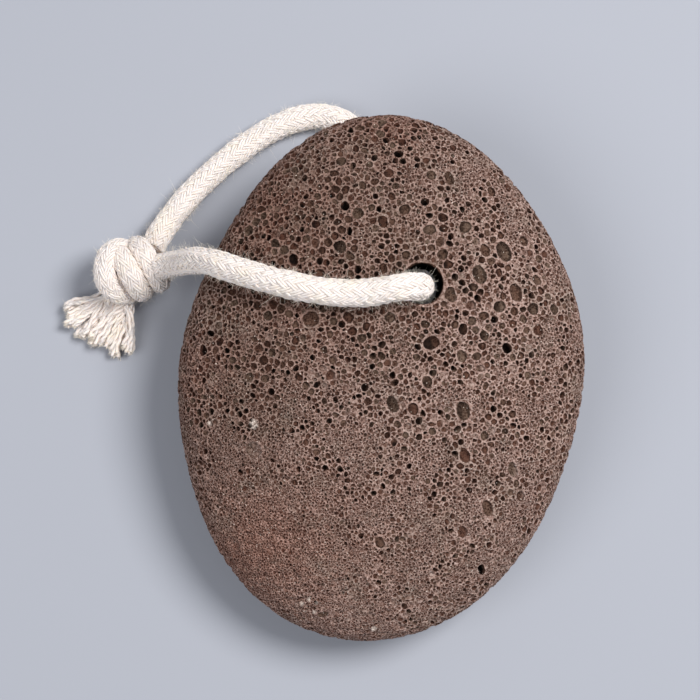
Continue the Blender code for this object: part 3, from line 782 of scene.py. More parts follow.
def add_braid(yarns, line, thickness):
    """The braid's yarns round a line. thickness is the braid's size at each station, 1 for the plain cord."""
    angles, radii = braid_pattern(line.along)
    away = line.round(angles)
    number = np.arange(len(angles))[:, None]
    slow = np.zeros_like(radii)
    for wave, change in WANDER_WAVES:
        slow = slow + np.sin(line.along[None] * wave + change * number**2)
    radii = radii + YARN_WANDER * slow
    paths = line.middle[None] + (radii * thickness)[:, :, None] * away
    along = np.broadcast_to(line.along, angles.shape)
    wave, change = SWELL_WAVE
    swell = 1 + YARN_SWELL * np.sin(line.along[None] * wave + change * number**2)
    width = YARN_HALF_WIDTH * thickness[None] * swell
    height = YARN_HALF_HEIGHT * thickness[None] * swell
    yarns.add(paths, away, width, height, YARN_SIDES, along)
    fill = FILL_RADIUS * thickness[None]
    yarns.add(line.middle[None], line.side[None], fill, fill, FILL_SIDES)


def add_fibres(yarns, roots, away, headings, count, length, dice):
    """Loose fibres that stand off the cotton, from random roots, curling over."""
    pick = dice.integers(0, len(roots), count)
    root, out = roots[pick], away[pick]
    heading = headings[pick] * dice.choice([-1, 1], count)[:, None]
    aside = unit(np.cross(out, heading))
    reach = dice.uniform(FIBRE_SHORTEST, 1.0, count) ** FIBRE_SHORTNESS * length
    reach = reach * dice.choice([1.0, LONG_FIBRE], count, p=[1 - LONG_FIBRES, LONG_FIBRES])
    rise = dice.uniform(*FIBRE_RISE, count)
    drift = dice.uniform(-1.0, 1.0, count)
    lean = unit(heading + rise[:, None] * out + drift[:, None] * aside)
    curl = unit(dice.normal(size=(count, 3)))
    t = np.linspace(0, 1, 3)[None, :, None]
    lines = root[:, None] + reach[:, None, None] * (t * lean[:, None] + FIBRE_CURL * t**2 * curl[:, None])
    lines[:, :, 2] = np.maximum(lines[:, :, 2], FIBRE_LOWEST)
    thin = FIBRE_RADIUS * (1.0 - FIBRE_TAPER * t[:, :, 0]) * np.ones((count, 1))
    yarns.add(lines, curl[:, None] + 0 * lines, thin, thin, FIBRE_SIDES)


def add_line_fibres(yarns, line, dice, thickness=1.0):
    """Loose fibres all round a braided line."""
    count = int(line.along[-1] * 1000 * FIBRES_EACH_MM)
    angle = dice.uniform(0, 2 * math.pi, (6, len(line.along)))
    away = line.round(angle)
    radius = thickness * (BRAID_MIDDLE + BRAID_SWING)
    roots = (line.middle[None] + radius * away).reshape(-1, 3)
    headings = np.broadcast_to(line.heading[None], away.shape).reshape(-1, 3)
    add_fibres(yarns, roots, away.reshape(-1, 3), headings, count, FIBRE_LENGTH, dice)


def make_cords(cotton, fluff):
    """The two strands of braided cord, and the fibres that stand off both."""
    fibres = Yarns()
    dice = np.random.default_rng(CORD_SEED)
    cords = []
    for name, route in (("cord_front", FRONT_ROUTE), ("cord_back", BACK_ROUTE)):
        line = Line(route, YARN_STEP)
        yarns = Yarns()
        long_wave, longer_wave = CORD_WAVES
        slow = np.sin(long_wave * line.along) + np.sin(longer_wave * line.along + 1)
        add_braid(yarns, line, 1 + CORD_UNEVEN * slow)
        cord = yarns.finish(name + "_braid", cotton)
        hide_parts(name)
        cords.append(cord)
        add_line_fibres(fibres, line, dice)
    return cords, fibres.finish("cord_fibres", fluff)


# ================================================================ Knot


def knot_directions():
    """Along the knot and square to it, both level."""
    axis = np.array(KNOT_AXIS) / np.linalg.norm(KNOT_AXIS)
    side = np.cross(axis, (0.0, 0.0, 1.0))
    return axis, side


def winding(stages):
    """Close places along the knot's winding, from its stages."""
    stages = np.array(stages)
    turns = np.linspace(stages[0, 0], stages[-1, 0], KNOT_PLACES)
    values = [np.interp(turns, stages[:, 0], stages[:, k]) for k in (1, 2, 3)]
    kernel = np.hanning(2 * KNOT_ROUNDING + 1)
    kernel = kernel / kernel.sum()
    values = [np.convolve(np.pad(v, KNOT_ROUNDING, mode="edge"), kernel, mode="valid") for v in values]
    along, across, radius = values
    axis, side = knot_directions()
    angle = np.radians(turns)
    places = np.array(KNOT_MIDDLE) + along[:, None] * axis - across[:, None] * side
    places = places - radius[:, None] * np.cos(angle)[:, None] * side
    places = places + radius[:, None] * np.sin(angle)[:, None] * UP
    places[:, 2] = np.maximum(places[:, 2], CORD_RADIUS * KNOT_THICKNESS)
    return places


def lobe(points):
    """Close places along the lobe."""
    return smooth_route([np.add(KNOT_MIDDLE, point) for point in points])


def make_knot(cotton, fluff):
    """The overhand knot: the same braid, wound round itself, with a lobe over its left end."""
    yarns = Yarns()
    fibres = Yarns()
    dice = np.random.default_rng(KNOT_SEED)
    for route, curve in ((KNOT_WINDING, winding), (KNOT_LOBE, lobe)):
        line = Line(route, YARN_STEP, curve=curve)
        add_braid(yarns, line, np.full_like(line.along, KNOT_THICKNESS))
        add_line_fibres(fibres, line, dice, KNOT_THICKNESS)
    knot = yarns.finish("knot_braid", cotton)
    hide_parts("cord_knot")
    return knot, fibres.finish("knot_fibres", fluff)


# ================================================================ Frayed ends


def frayed_line(start, end):
    """The middle line of a frayed end, from inside the knot to the ground at its tip."""
    inside = start - FRAYED_INSIDE * unit(end - start)
    halfway = start + 0.5 * np.linalg.norm(end - start) * unit(end - start)
    places = zip((inside, start, halfway, end), FRAYED_HEIGHTS)
    return Line([(place[0], place[1], height) for place, height in places], FRAYED_STEP)


def frayed_yarns(line, dice):
    """Where the braid's yarns and those inside it would run, as angles, directions and places."""
    angles, radii = braid_pattern(line.along)
    core = dice.uniform(0, 2 * math.pi, (CORE_YARNS, 1)) + np.zeros_like(line.along)
    angles = np.concatenate([angles, core])
    core = dice.uniform(*CORE_RADII, (CORE_YARNS, 1)) + np.zeros_like(line.along)
    radii = np.concatenate([radii, core])
    away = line.round(angles)
    return angles, away, BRAID_KEPT * radii[:, :, None] * away


def fanned_out(line, angles, sideways, widths, share, dice):
    """Where the loose yarns lie from the middle, and each yarn's lock and its place across the fan."""
    count = len(angles)
    lock = np.sort(dice.permutation(np.arange(count)) % LOCKS)
    lock = lock[np.argsort(np.argsort(np.cos(angles[:, -1])))]
    lock_place = np.linspace(-LOCK_REACH, LOCK_REACH, LOCKS) + dice.uniform(-LOCK_CHANCE, LOCK_CHANCE, LOCKS)
    lock_height = dice.uniform(*LOCK_HEIGHTS, LOCKS)
    place = lock_place[lock] + dice.uniform(-LOCK_SPREAD, LOCK_SPREAD, count)
    height = np.clip(lock_height[lock] + dice.normal(0, LOCK_HEIGHT_CHANCE, count), 0.05, 1.0)
    width = widths[0] + (widths[1] - widths[0]) * share
    thick = FRAYED_ROOT_THICKNESS + (FRAYED_TIP_THICKNESS - FRAYED_ROOT_THICKNESS) * share
    fan = (0.5 * place[:, None] * width)[:, :, None] * sideways
    level = (height[:, None] * thick - line.middle[None, :, 2])[:, :, None]
    fan = fan + level * UP
    for length, across, high in CRIMPS:
        crimp = 2 * math.pi * line.along[None] / length + dice.uniform(0, 6.28, (count, 1))
        fan = fan + across * np.sin(crimp)[:, :, None] * sideways + high * np.cos(crimp)[:, :, None] * UP
    return fan, lock, place


def add_brushes(fibres, paths, heading, dice):
    """The small brush of fibres that each cut tip flares into."""
    count = len(paths) * BRUSH
    tips = np.repeat(paths[:, -2], BRUSH, axis=0)
    lean = unit(np.repeat(heading[:, -1], BRUSH, axis=0) + BRUSH_SPREAD * dice.normal(size=(count, 3)))
    reach = dice.uniform(*BRUSH_LENGTHS, count)
    t = np.linspace(0, 1, 4)[None, :, None]
    offset = BRUSH_WIDTH * dice.normal(size=(count, 1, 3))
    hairs = tips[:, None] + offset + t * reach[:, None, None] * lean[:, None]
    hairs[:, :, 2] = np.maximum(hairs[:, :, 2], FIBRE_LOWEST)
    thin = BRUSH_THICKNESS * FIBRE_RADIUS * (1 - BRUSH_TAPER * t[:, :, 0]) * np.ones((count, 1))
    fibres.add(hairs, np.array((0.3, 0.2, 1.0)) + 0 * hairs, thin, thin, FIBRE_SIDES)


def make_frayed_end(name, root, tip, widths, cotton, fluff, dice):
    """The cord's end: a braid that comes apart into a fan of loose yarns with cut tips."""
    start, end = np.array((*root, 0.0)), np.array((*tip, 0.0))
    forward = unit(end - start)
    sideways = np.array((forward[1], -forward[0], 0.0))
    line = frayed_line(start, end)
    share = line.along[None] / line.along[-1]
    angles, away, kept = frayed_yarns(line, dice)
    fan, lock, place = fanned_out(line, angles, sideways, widths, share, dice)
    loose = (np.clip((share - LOOSE_FROM) / LOOSE_OVER, 0, 1) ** LOOSE_BEND)[:, :, None]
    paths = line.middle[None] + (1 - loose) * kept + loose * fan
    stretch = 1 + dice.uniform(*LOCK_CUT, LOCKS)[lock] + dice.uniform(*YARN_CUT, len(angles))
    stretch = stretch - SIDE_CUT * np.abs(place) ** 2
    growth = smooth_step(share, CUT_FROM, 1.0) * (stretch[:, None] - 1) * np.linalg.norm(end - start)
    paths = paths + growth[:, :, None] * forward
    paths[:, :, 2] = np.maximum(paths[:, :, 2], YARN_HALF_HEIGHT + YARN_GAP)

    yarns = Yarns()
    along = np.broadcast_to(line.along, angles.shape)
    swell = 1.0 + LOOSE_SWELL * loose[:, :, 0]
    facing = (1 - loose) * away + loose * UP
    yarns.add(paths, facing, YARN_HALF_WIDTH * swell, YARN_HALF_HEIGHT * swell, YARN_SIDES, along)
    piece = yarns.finish(name + "_yarns", cotton)
    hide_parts(name)

    fibres = Yarns()
    heading = unit(np.gradient(paths, axis=1))
    add_brushes(fibres, paths, heading, dice)
    loose_part = slice(len(line.along) // 4, None)
    roots = paths[:, loose_part].reshape(-1, 3)
    headings = heading[:, loose_part].reshape(-1, 3)
    out = unit(dice.normal(size=roots.shape) + np.array((0, 0, 0.4)))
    places = roots + YARN_HALF_HEIGHT * out
    add_fibres(fibres, places, out, headings, FRAYED_FIBRES, FRAYED_FIBRE_LENGTH, dice)
    return piece, fibres.finish(name + "_fibres", fluff)


# ================================================================ Pores


def scatter(count, dice):
    """Points spread evenly over the plain form."""
    phi = np.linspace(0, math.pi / 2, 500)
    wide = OUTLINE_RADIUS * np.sin(phi) ** (2 / ROUNDNESS)
    tall = (FACE_HEIGHT + BACK_HEIGHT) / 2 * np.cos(phi) ** (2 / ROUNDNESS)
    area = (wide[1:] + wide[:-1]) / 2 * np.hypot(np.diff(wide), np.diff(tall))
    share = np.concatenate([[0.0], np.cumsum(area) / area.sum()])
    angle = np.interp(dice.random(count), share, phi)
    theta = dice.uniform(-math.pi, math.pi, count)
    side = dice.choice([-1, 1], count)
    reach = np.sin(angle) ** (2 / ROUNDNESS) * outline(theta)[0]
    z = side * np.where(side > 0, FACE_HEIGHT, BACK_HEIGHT) * np.cos(angle) ** (2 / ROUNDNESS)
    return np.stack([reach * np.cos(theta), reach * np.sin(theta), z], 1)


def waves(points, length, seed):
    """Slow random unevenness over the stone, about -1 to 1, in patches of that length."""
    dice = np.random.default_rng(seed)
    value = np.zeros(len(points))
    for _ in range(WAVE_COUNT):
        way = unit(dice.normal(size=3)) * 2 * math.pi / (length * dice.uniform(*WAVE_LENGTHS))
        value += np.sin(points @ way + dice.uniform(0, 2 * math.pi))
    return value / WAVE_SCALE


def pore_size(points):
    """Size of the pores at a point, 1 where they are coarse."""
    x, y, z = points.T
    total = np.full(len(points), 1e-9)
    face = np.full(len(points), 1e-9 * BACK_SIZE)
    for a, b, size in FROTH_PLACES:
        near = np.exp(-((x - a) ** 2 + (y - b) ** 2) / FROTH_REACH**2)
        total += near
        face += near * size
    size = BACK_SIZE + (face / total - BACK_SIZE) * smooth_step(z, -BLEND_DEPTH / 2, BLEND_DEPTH / 2)
    return size * np.exp(PATCH_CHANGE * np.clip(waves(points, PATCH_LENGTH, PATCH_SEED), *PATCH_RANGE))


def wall_between(radius_sum):
    """Thickness of the wall between two pores."""
    return WALL_LEAST + WALL_MORE * np.clip(radius_sum / WALL_LARGE, 0, 1)


def clear_of_mouths(points, radii):
    """Which pores lie clear of the hole's mouths."""
    away = np.hypot(points[:, 0] - HOLE_X, points[:, 1] - HOLE_Y)
    return away > HOLE_RADIUS + MOUTH_WEAR + MOUTH_CHIPS + MOUTH_CLEARANCE * radii + WALL_LEAST


def strips(points, centres, reach):
    """Numbers of the points a strip at a time, of the centres near that strip, and how far apart they are."""
    order = np.argsort(points[:, 0])
    for first in range(0, len(order), STRIP_LENGTH):
        rows = order[first : first + STRIP_LENGTH]
        low, high = points[rows[0], 0] - reach, points[rows[-1], 0] + reach
        near = np.nonzero((centres[:, 0] > low) & (centres[:, 0] < high))[0]
        square = sum((points[rows, None, k] - centres[None, near, k]) ** 2 for k in range(3))
        yield rows, near, np.sqrt(square)


def clear_of_pores(points, radii, centres, sizes):
    """Which points lie clear of the pores that are there already."""
    clear = np.ones(len(points), bool)
    for rows, near, far in strips(points, centres, NEAREST_MOST):
        both = radii[rows, None] + sizes[None, near]
        clear[rows] = (far > PACKING * both + wall_between(both)).all(axis=1)
    return clear


def first_come(points, radii):
    """Numbers of the points that stay when each keeps clear of those before it."""
    cell = 2 * PACKING * radii.max() + wall_between(2 * radii.max())
    keys = np.floor(points / cell).astype(int).tolist()
    taken = {}
    kept = []
    around = [(a, b, c) for a in (-1, 0, 1) for b in (-1, 0, 1) for c in (-1, 0, 1)]
    walls = wall_between(2 * radii)
    rows = list(zip(points.tolist(), radii.tolist(), walls.tolist()))
    for number, ((a, b, c), (point, radius, wall)) in enumerate(zip(keys, rows)):
        x, y, z = point
        free = True
        for i, j, k in around:
            for u, v, w, size in taken.get((a + i, b + j, c + k), ()):
                room = PACKING * (radius + size) + wall
                if (x - u) ** 2 + (y - v) ** 2 + (z - w) ** 2 < room * room:
                    free = False
                    break
            if not free:
                break
        if free:
            taken.setdefault((a, b, c), []).append((x, y, z, radius))
            kept.append(number)
    return np.array(kept, int)


def pore_axes(centres):
    """Two ways along the stone's surface at each pore, square to each other."""
    normal = outward(centres)
    east = unit(np.cross(np.broadcast_to(PORE_GUIDE, normal.shape), normal))
    return east, np.cross(normal, east)


def guards(centres):
    """Circles that keep the other pores clear of the named ones, which are oval."""
    east, north = pore_axes(centres)
    wide, tall = np.array([row[2:4] for row in FACE_PORES]).T
    tilt = np.where(tall > wide, FACE_TILT, FACE_TILT + math.pi / 2)[:, None]
    along = np.abs(tall - wide)[:, None] * (np.cos(tilt) * east + np.sin(tilt) * north)
    places = np.concatenate([centres - along, centres, centres + along])
    return places, np.tile(GUARD_SHARE * np.minimum(wide, tall) / PACKING, 3)


def choose_pores(dice):
    """Middles and radii of all the pores, largest first."""
    centres = np.array([face_point(row[0], row[1]) for row in FACE_PORES])
    radii = np.array([math.sqrt(row[2] * row[3]) for row in FACE_PORES])
    guard_places, guard_sizes = guards(centres)
    for least, most, darts, back_share, finest in PORE_ROUNDS:
        points = scatter(darts, dice)
        froth = pore_size(points)
        wanted = dice.random(darts) < np.where(points[:, 2] < BACK_FROM, back_share, 1.0)
        wanted &= (froth > finest) | (dice.random(darts) < STRAY_SHARE)
        points, froth = points[wanted], froth[wanted]
        sizes = np.maximum(dice.uniform(least, most, len(points)) * froth, PORE_LEAST)
        clear = clear_of_mouths(points, sizes) & clear_of_pores(points, sizes, centres, radii)
        clear &= clear_of_pores(points, sizes, guard_places, guard_sizes)
        points, sizes = points[clear], sizes[clear]
        keep = first_come(points, sizes)
        centres = np.concatenate([centres, points[keep]])
        radii = np.concatenate([radii, sizes[keep]])
    return centres, radii


def near_pairs(centres, radii):
    """Pairs of pores that are close enough to share a wall, each pair both ways round."""
    first, second = [], []
    for rows, near, far in strips(centres, centres, NEAREST_MOST):
        both = radii[rows, None] + radii[None, near]
        close = (far < np.minimum(SWELL_MOST * both + WALL_LEAST + WALL_MORE, NEAREST_MOST)) & (far > 0)
        a, b = np.nonzero(close)
        first.append(rows[a])
        second.append(near[b])
    return np.concatenate(first), np.concatenate(second)


def sides_of(radii):
    """Corners of each pore's rim."""
    limits, sides = zip(*SIDES_BY_RADIUS)
    return np.select([radii < limit for limit in limits], sides, SIDES_MOST)


def pair_chance(first, second):
    """A number from 0 to 1 for each pair of pores, the same both ways round."""
    return np.modf(np.sin(first * 12.9 + second * 12.9) ** 2 * 91.7)[0]


def meet_neighbours(crowd, bound, centres, radii, axes, angle, oval, tilt):
    """Draws the rims in where they would meet a neighbour, and leaves a thin wall between the two."""
    east, north = axes
    first, second = near_pairs(centres, radii)
    gap = centres[second] - centres[first]
    far = np.linalg.norm(gap, axis=1)
    bearing = np.arctan2((gap * north[first]).sum(1), (gap * east[first]).sum(1))
    size = radii[first] * (1 + oval[first] * np.cos(2 * (bearing - tilt[first])))
    order = np.lexsort((second, first))
    other_way = np.empty(len(order), int)
    other_way[np.lexsort((first, second))] = order
    both = size + size[other_way]
    wall = wall_between(both) * (WALL_THINNEST + WALL_CHANCE * pair_chance(first, second))
    limit = np.maximum(far * size / both - wall / 2, RIM_NEAREST * radii[first])
    facing = np.maximum(np.cos(angle[first] - bearing[:, None]), 1e-6)
    np.add.at(crowd, first, (facing / limit[:, None]) ** CORNERING)
    np.minimum.at(bound, first, limit[:, None] / facing)


def meet_mouths(crowd, bound, centres, radii, axes, angle):
    """Draws the rims in where they would meet the hole."""
    east, north = axes
    away = np.array((HOLE_X, HOLE_Y))[None] - centres[:, :2]
    apart = np.hypot(*away.T)
    mouth = HOLE_RADIUS + MOUTH_WEAR + MOUTH_CHIPS + WALL_LEAST
    close = apart < mouth + 2 * SWELL_MOST * radii
    toward = np.concatenate([away, np.zeros((len(away), 1))], 1)
    bearing = np.arctan2((toward * north).sum(1), (toward * east).sum(1))
    facing = np.maximum(np.cos(angle - bearing[:, None]), 1e-6)
    limit = np.maximum(apart - mouth, MOUTH_NEAREST * radii)[:, None]
    crowd += np.where(close[:, None], (facing / limit) ** CORNERING, 0)
    np.minimum(bound, limit / facing, out=bound, where=close[:, None])


def pore_rims(centres, radii, dice):
    """Rims as rounded polygons that leave a thin wall to each neighbour.

    Returns the corners of each pore's rim (pore, corner, xyz) on the plain form, and the number of corners.
    """
    axes = pore_axes(centres)
    east, north = axes
    sides = sides_of(radii)
    start = dice.uniform(0, 2 * math.pi, len(radii))
    angle = start[:, None] + 2 * math.pi * np.arange(SIDES_MOST)[None] / sides[:, None]
    swell = SWELL_SMALL + (SWELL_LARGE - SWELL_SMALL) * np.clip(radii / SWELL_TURN, 0, 1)
    oval = OVALNESS * dice.uniform(-1, 1, len(radii))
    tilt = dice.uniform(0, math.pi, len(radii))
    named = len(FACE_PORES)
    oval[:named] = [(row[3] - row[2]) / (row[3] + row[2]) for row in FACE_PORES]
    tilt[:named] = FACE_TILT
    swell[:named] = 1.0
    stretch = 1 + oval[:, None] * np.cos(2 * (angle - tilt[:, None]))
    reach = (swell * radii / np.sqrt(np.cos(math.pi / sides)))[:, None] * stretch
    crowd = reach ** (-CORNERING)
    bound = np.repeat(SWELL_MOST * radii[:, None], SIDES_MOST, axis=1)
    meet_neighbours(crowd, bound, centres, radii, axes, angle, oval, tilt)
    meet_mouths(crowd, bound, centres, radii, axes, angle)
    reach = crowd ** (-1 / CORNERING) * dice.uniform(1 - RAGGED, 1, crowd.shape)
    reach = np.minimum(reach / np.sqrt(np.cos(math.pi / sides))[:, None], bound)
    way = np.cos(angle)[:, :, None] * east[:, None] + np.sin(angle)[:, :, None] * north[:, None]
    corners = centres[:, None] + reach[:, :, None] * way
    corners = onto_form(corners.reshape(-1, 3)).reshape(corners.shape)
    return corners, sides


# ================================================================ The stone's mesh


def growth_table(height):
    """How the flat map spreads from a pole to the edge, over the plain section."""
    phi = np.linspace(1e-4, math.pi / 2, 3000)
    wide = OUTLINE_RADIUS * np.sin(phi) ** (2 / ROUNDNESS)
    tall = height * np.cos(phi) ** (2 / ROUNDNESS)
    step = np.hypot(np.diff(wide), np.diff(tall)) / ((wide[1:] + wide[:-1]) / 2)
    excess = step - np.diff(np.log(wide))
    spread = np.exp(-(excess.sum() - np.concatenate([[0.0], np.cumsum(excess)])))
    return wide / OUTLINE_RADIUS, spread


def flat_map(points):
    """The whole stone's surface laid flat without folds, as complex numbers.

    Angles are kept nearly true. The back mouth of the hole becomes the outer edge of the map.
    """
    x, y, z = points.T
    theta = np.arctan2(y, x)
    share = np.clip(np.hypot(x, y) / outline(theta)[0], 1e-6, 1)
    reach = np.ones_like(share)
    for side, height in ((1, FACE_HEIGHT), (-1, BACK_HEIGHT)):
        wide, spread = growth_table(height)
        size = share * np.interp(share, wide, spread)
        here = z > 0 if side > 0 else z <= 0
        reach = np.where(here, size**side, reach)
    return reach * np.exp(1j * theta)


def mouth_ring(side, dice):
    """The chipped edge of the hole's mouth, on the face or on the back."""
    angle = 2 * math.pi * np.arange(MOUTH_SIDES) / MOUTH_SIDES
    rough = np.convolve(dice.normal(0, 1, MOUTH_SIDES + 4), np.ones(5) / 5, mode="valid")
    radius = HOLE_RADIUS + MOUTH_WEAR + MOUTH_CHIPS * np.clip(1.6 * rough, -1, 1)
    corners = zip(radius, angle)
    ring = [face_point(HOLE_X + r * math.cos(a), HOLE_Y + r * math.sin(a), side) for r, a in corners]
    return np.array(ring)


def stitch(upper, lower):
    """Triangles between two rows of rings (ring, corner) of point numbers."""
    a, b = upper, np.roll(upper, -1, -1)
    c, d = lower, np.roll(lower, -1, -1)
    return np.concatenate([np.stack([a, b, d], -1).reshape(-1, 3), np.stack([a, d, c], -1).reshape(-1, 3)])


class Surface:
    """Points, triangles and values of one of the stone's surfaces as they are gathered."""

    def __init__(self):
        self.points = []
        self.triangles = []
        self.hollow_shade = []
        self.tone = []
        self.count = 0

    def add(self, points, hollow_shade, tone):
        """Adds points (..., xyz) and returns their numbers."""
        shape = points.shape[:-1]
        number = self.count + np.arange(int(np.prod(shape))).reshape(shape)
        self.points.append(points.reshape(-1, 3))
        self.hollow_shade.append(np.broadcast_to(hollow_shade, shape).reshape(-1))
        self.tone.append(np.broadcast_to(tone, shape).reshape(-1))
        self.count += number.size
        return number

    def finish(self, name, material):
        """Makes a piece of the face's side and a piece of the back's."""
        own = np.concatenate(self.points)
        triangles = np.concatenate(self.triangles)
        values = {"hollow_shade": np.concatenate(self.hollow_shade), "tone": np.concatenate(self.tone)}
        on_face = own[triangles, 2].mean(axis=1) > 0
        for side, chosen in (("face", on_face), ("back", ~on_face)):
            used, numbers = np.unique(triangles[chosen], return_inverse=True)
            own_values = {label: value[used] for label, value in values.items()}
            self.make_piece(name + "_" + side, own[used], numbers.reshape(-1, 3), own_values, material)

    def make_piece(self, name, own, triangles, values, material):
        """Makes one piece, flat where it rests on the ground."""
        points = placed(own)
        lowest = np.where(values["hollow_shade"] > 0, HOLLOW_LOWEST, 0.0)
        points[:, 2] = np.maximum(points[:, 2], lowest)
        values.update(tints(own))
        layers = {label: ("POINT", value) for label, value in values.items()}
        piece = new_piece(name, points, [triangles], layers, material)
        piece.data.shade_smooth()
        piece.data.set_sharp_from_angle(angle=SHARP_ANGLE)
        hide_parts("pumice_stone")


def lay_walls(walls, loops, plain):
    """Triangles over all that is stone between the pores' rims and the hole's mouths."""
    flat = flat_map(plain)
    centre = flat_map(face_point(HOLE_X, HOLE_Y, -1)[None])[0]
    flat = 1 / (flat - centre)
    edges = []
    owner = np.full(len(plain), -1)
    for number, loop in enumerate(loops):
        edges.append(np.stack([loop, np.roll(loop, -1)], 1))
        owner[loop] = number
    edges = np.concatenate(edges)
    places = [Vector((w.real, w.imag)) for w in flat]
    faces = delaunay_2d_cdt(places, edges.tolist(), [], 1, 1e-12, False)[2]
    triangles = np.array([face for face in faces if len(face) == 3])
    owners = owner[triangles]
    same = (owners[:, 0] == owners[:, 1]) & (owners[:, 1] == owners[:, 2]) & (owners[:, 0] >= 0)
    walls.triangles.append(triangles[~same])


def shade_at_depth(depth):
    """How much painted shade a place has at that depth: a little at a rim, towards 1 far down."""
    return 1 - (1 - RIM_SHADE) * np.exp(-depth / HOLLOW_SHADE_DEPTH)


def pore_kinds(radii, dice):
    """Which pores are closed, which are shallow, which are deep and which are the named ones."""
    kind = dice.random(len(radii))
    named = np.arange(len(radii)) < len(FACE_PORES)
    kind[named] = [row[4] for row in FACE_PORES]
    deep = (kind > 1 - DEEP_SHARE) & ((radii < DEEP_LARGEST) | named)
    return kind < CLOSED_SHARE, kind < SHALLOW_SHARE, deep, named


def pore_depths(centres, radii, dice):
    """How deep each pore is, how strong the painted shade inside it is, and its tone: lighter and more olive
    towards 1.
    """
    count = len(radii)
    closed, shallow, deep, named = pore_kinds(radii, dice)
    small = radii < SMALL_PORE
    depths = [dice.uniform(*SMALL_DEPTH, count), SHALLOW_DEPTH, DEEP_DEPTH]
    depth = radii * np.select([small & ~deep, shallow, deep], depths, BOWL_DEPTH)
    depth = np.minimum(depth * dice.uniform(*PORE_CHANCE, count), DEPTH_MOST)
    depth[named & ~deep] *= NAMED_DEPTH
    dark = np.select([closed, shallow, deep], [CLOSED_DARK, SHALLOW_DARK, DEEP_DARK], 1.0)
    darker = 1 + SMALL_DARK_RISE - SMALL_DARK_RISE * radii / SMALL_DARK_RADIUS
    dark *= dice.uniform(*PORE_CHANCE, count) * np.clip(darker, 1.0, SMALL_DARK_MOST)
    dark *= 1 - FINE_DARK * tints(centres)["fine"]
    dark[named & deep] = NAMED_DARK
    tone = np.clip(dice.uniform(-1, 1, count) + radii / TONE_RADIUS - TONE_SHIFT, -1, 1)
    return depth, dark, tone


def dig_pores(hollows, corners, centres, radii, sides, dice):
    """The pores' insides, below their rims: cones for the smallest, bowls for the rest."""
    way = unit(dice.normal(0, PORE_SLANT, centres.shape) - outward(centres))
    depth, dark, tone = pore_depths(centres, radii, dice)
    for count in np.unique(sides):
        group = np.nonzero(sides == count)[0]
        top = corners[group][:, :count]
        middle = top.mean(1)
        down = (way * depth[:, None])[group]
        darkness = dark[group][:, None]
        # painted shade inside the pores, from their rims downwards
        upper = hollows.add(top, RIM_SHADE * darkness, tone[group][:, None])
        rings = next(rings for least, rings in BOWL_RINGS if count >= least)
        for wide, low in rings:
            ring = middle[:, None] + wide * (top - middle[:, None]) + low * down[:, None]
            ring = ring + BOWL_ROUGH * dice.normal(size=ring.shape) * radii[group][:, None, None]
            # painted shade: darker towards each pore's west side
            west = (middle[:, None, 0] - ring[:, :, 0]) / radii[group][:, None]
            hollow_shade = shade_at_depth(low * depth[group])[:, None] * darkness * (1 + WEST_SHADE * west)
            lower = hollows.add(ring, hollow_shade, tone[group][:, None])
            hollows.triangles.append(stitch(upper, lower))
            upper = lower
        bottom = hollows.add(middle + down, shade_at_depth(depth[group]) * darkness[:, 0], tone[group])
        fan = np.stack([upper, np.roll(upper, -1, 1), np.broadcast_to(bottom[:, None], upper.shape)], -1)
        hollows.triangles.append(fan.reshape(-1, 3))


def drill(hollows, rings, dice):
    """The hole's wall, from its face mouth down to its back mouth."""
    top, bottom = rings
    high = top[:, 2].mean() - MOUTH_DEPTH
    low = bottom[:, 2].mean() + MOUTH_DEPTH
    levels = np.linspace(high, low, int((high - low) / BORE_STEP) + 1)
    angle = 2 * math.pi * np.arange(MOUTH_SIDES) / MOUTH_SIDES
    upper = hollows.add(top, MOUTH_SHADE, 0.0)
    for level in levels:
        radius = HOLE_RADIUS + dice.uniform(-1, 1, MOUTH_SIDES) * BORE_ROUGH
        x, y = HOLE_X + radius * np.cos(angle), HOLE_Y + radius * np.sin(angle)
        reach = min(top[:, 2].mean() - level, level - bottom[:, 2].mean())
        ring = np.stack([x, y, np.full(MOUTH_SIDES, level)], 1)
        # painted shade that deepens towards the bore's middle
        lower = hollows.add(ring, shade_at_depth(BORE_SHADE_SHARE * reach), 0.0)
        hollows.triangles.append(stitch(upper, lower))
        upper = lower
    hollows.triangles.append(stitch(upper, hollows.add(bottom, MOUTH_SHADE, 0.0)))


def fill_points(centres, radii, dice):
    """Points on the wider walls, to carry their unevenness."""
    points = scatter(FILL_DARTS, dice)
    clear = clear_of_mouths(points, np.full(len(points), FILL_FROM_MOUTH))
    for rows, near, far in strips(points, centres, NEAREST_MOST):
        clear[rows] &= (far > SWELL_SMALL * radii[None, near] + FILL_FROM_PORE).all(axis=1)
    points = points[clear]
    return points[first_come(points, np.full(len(points), FILL_ROOM))]


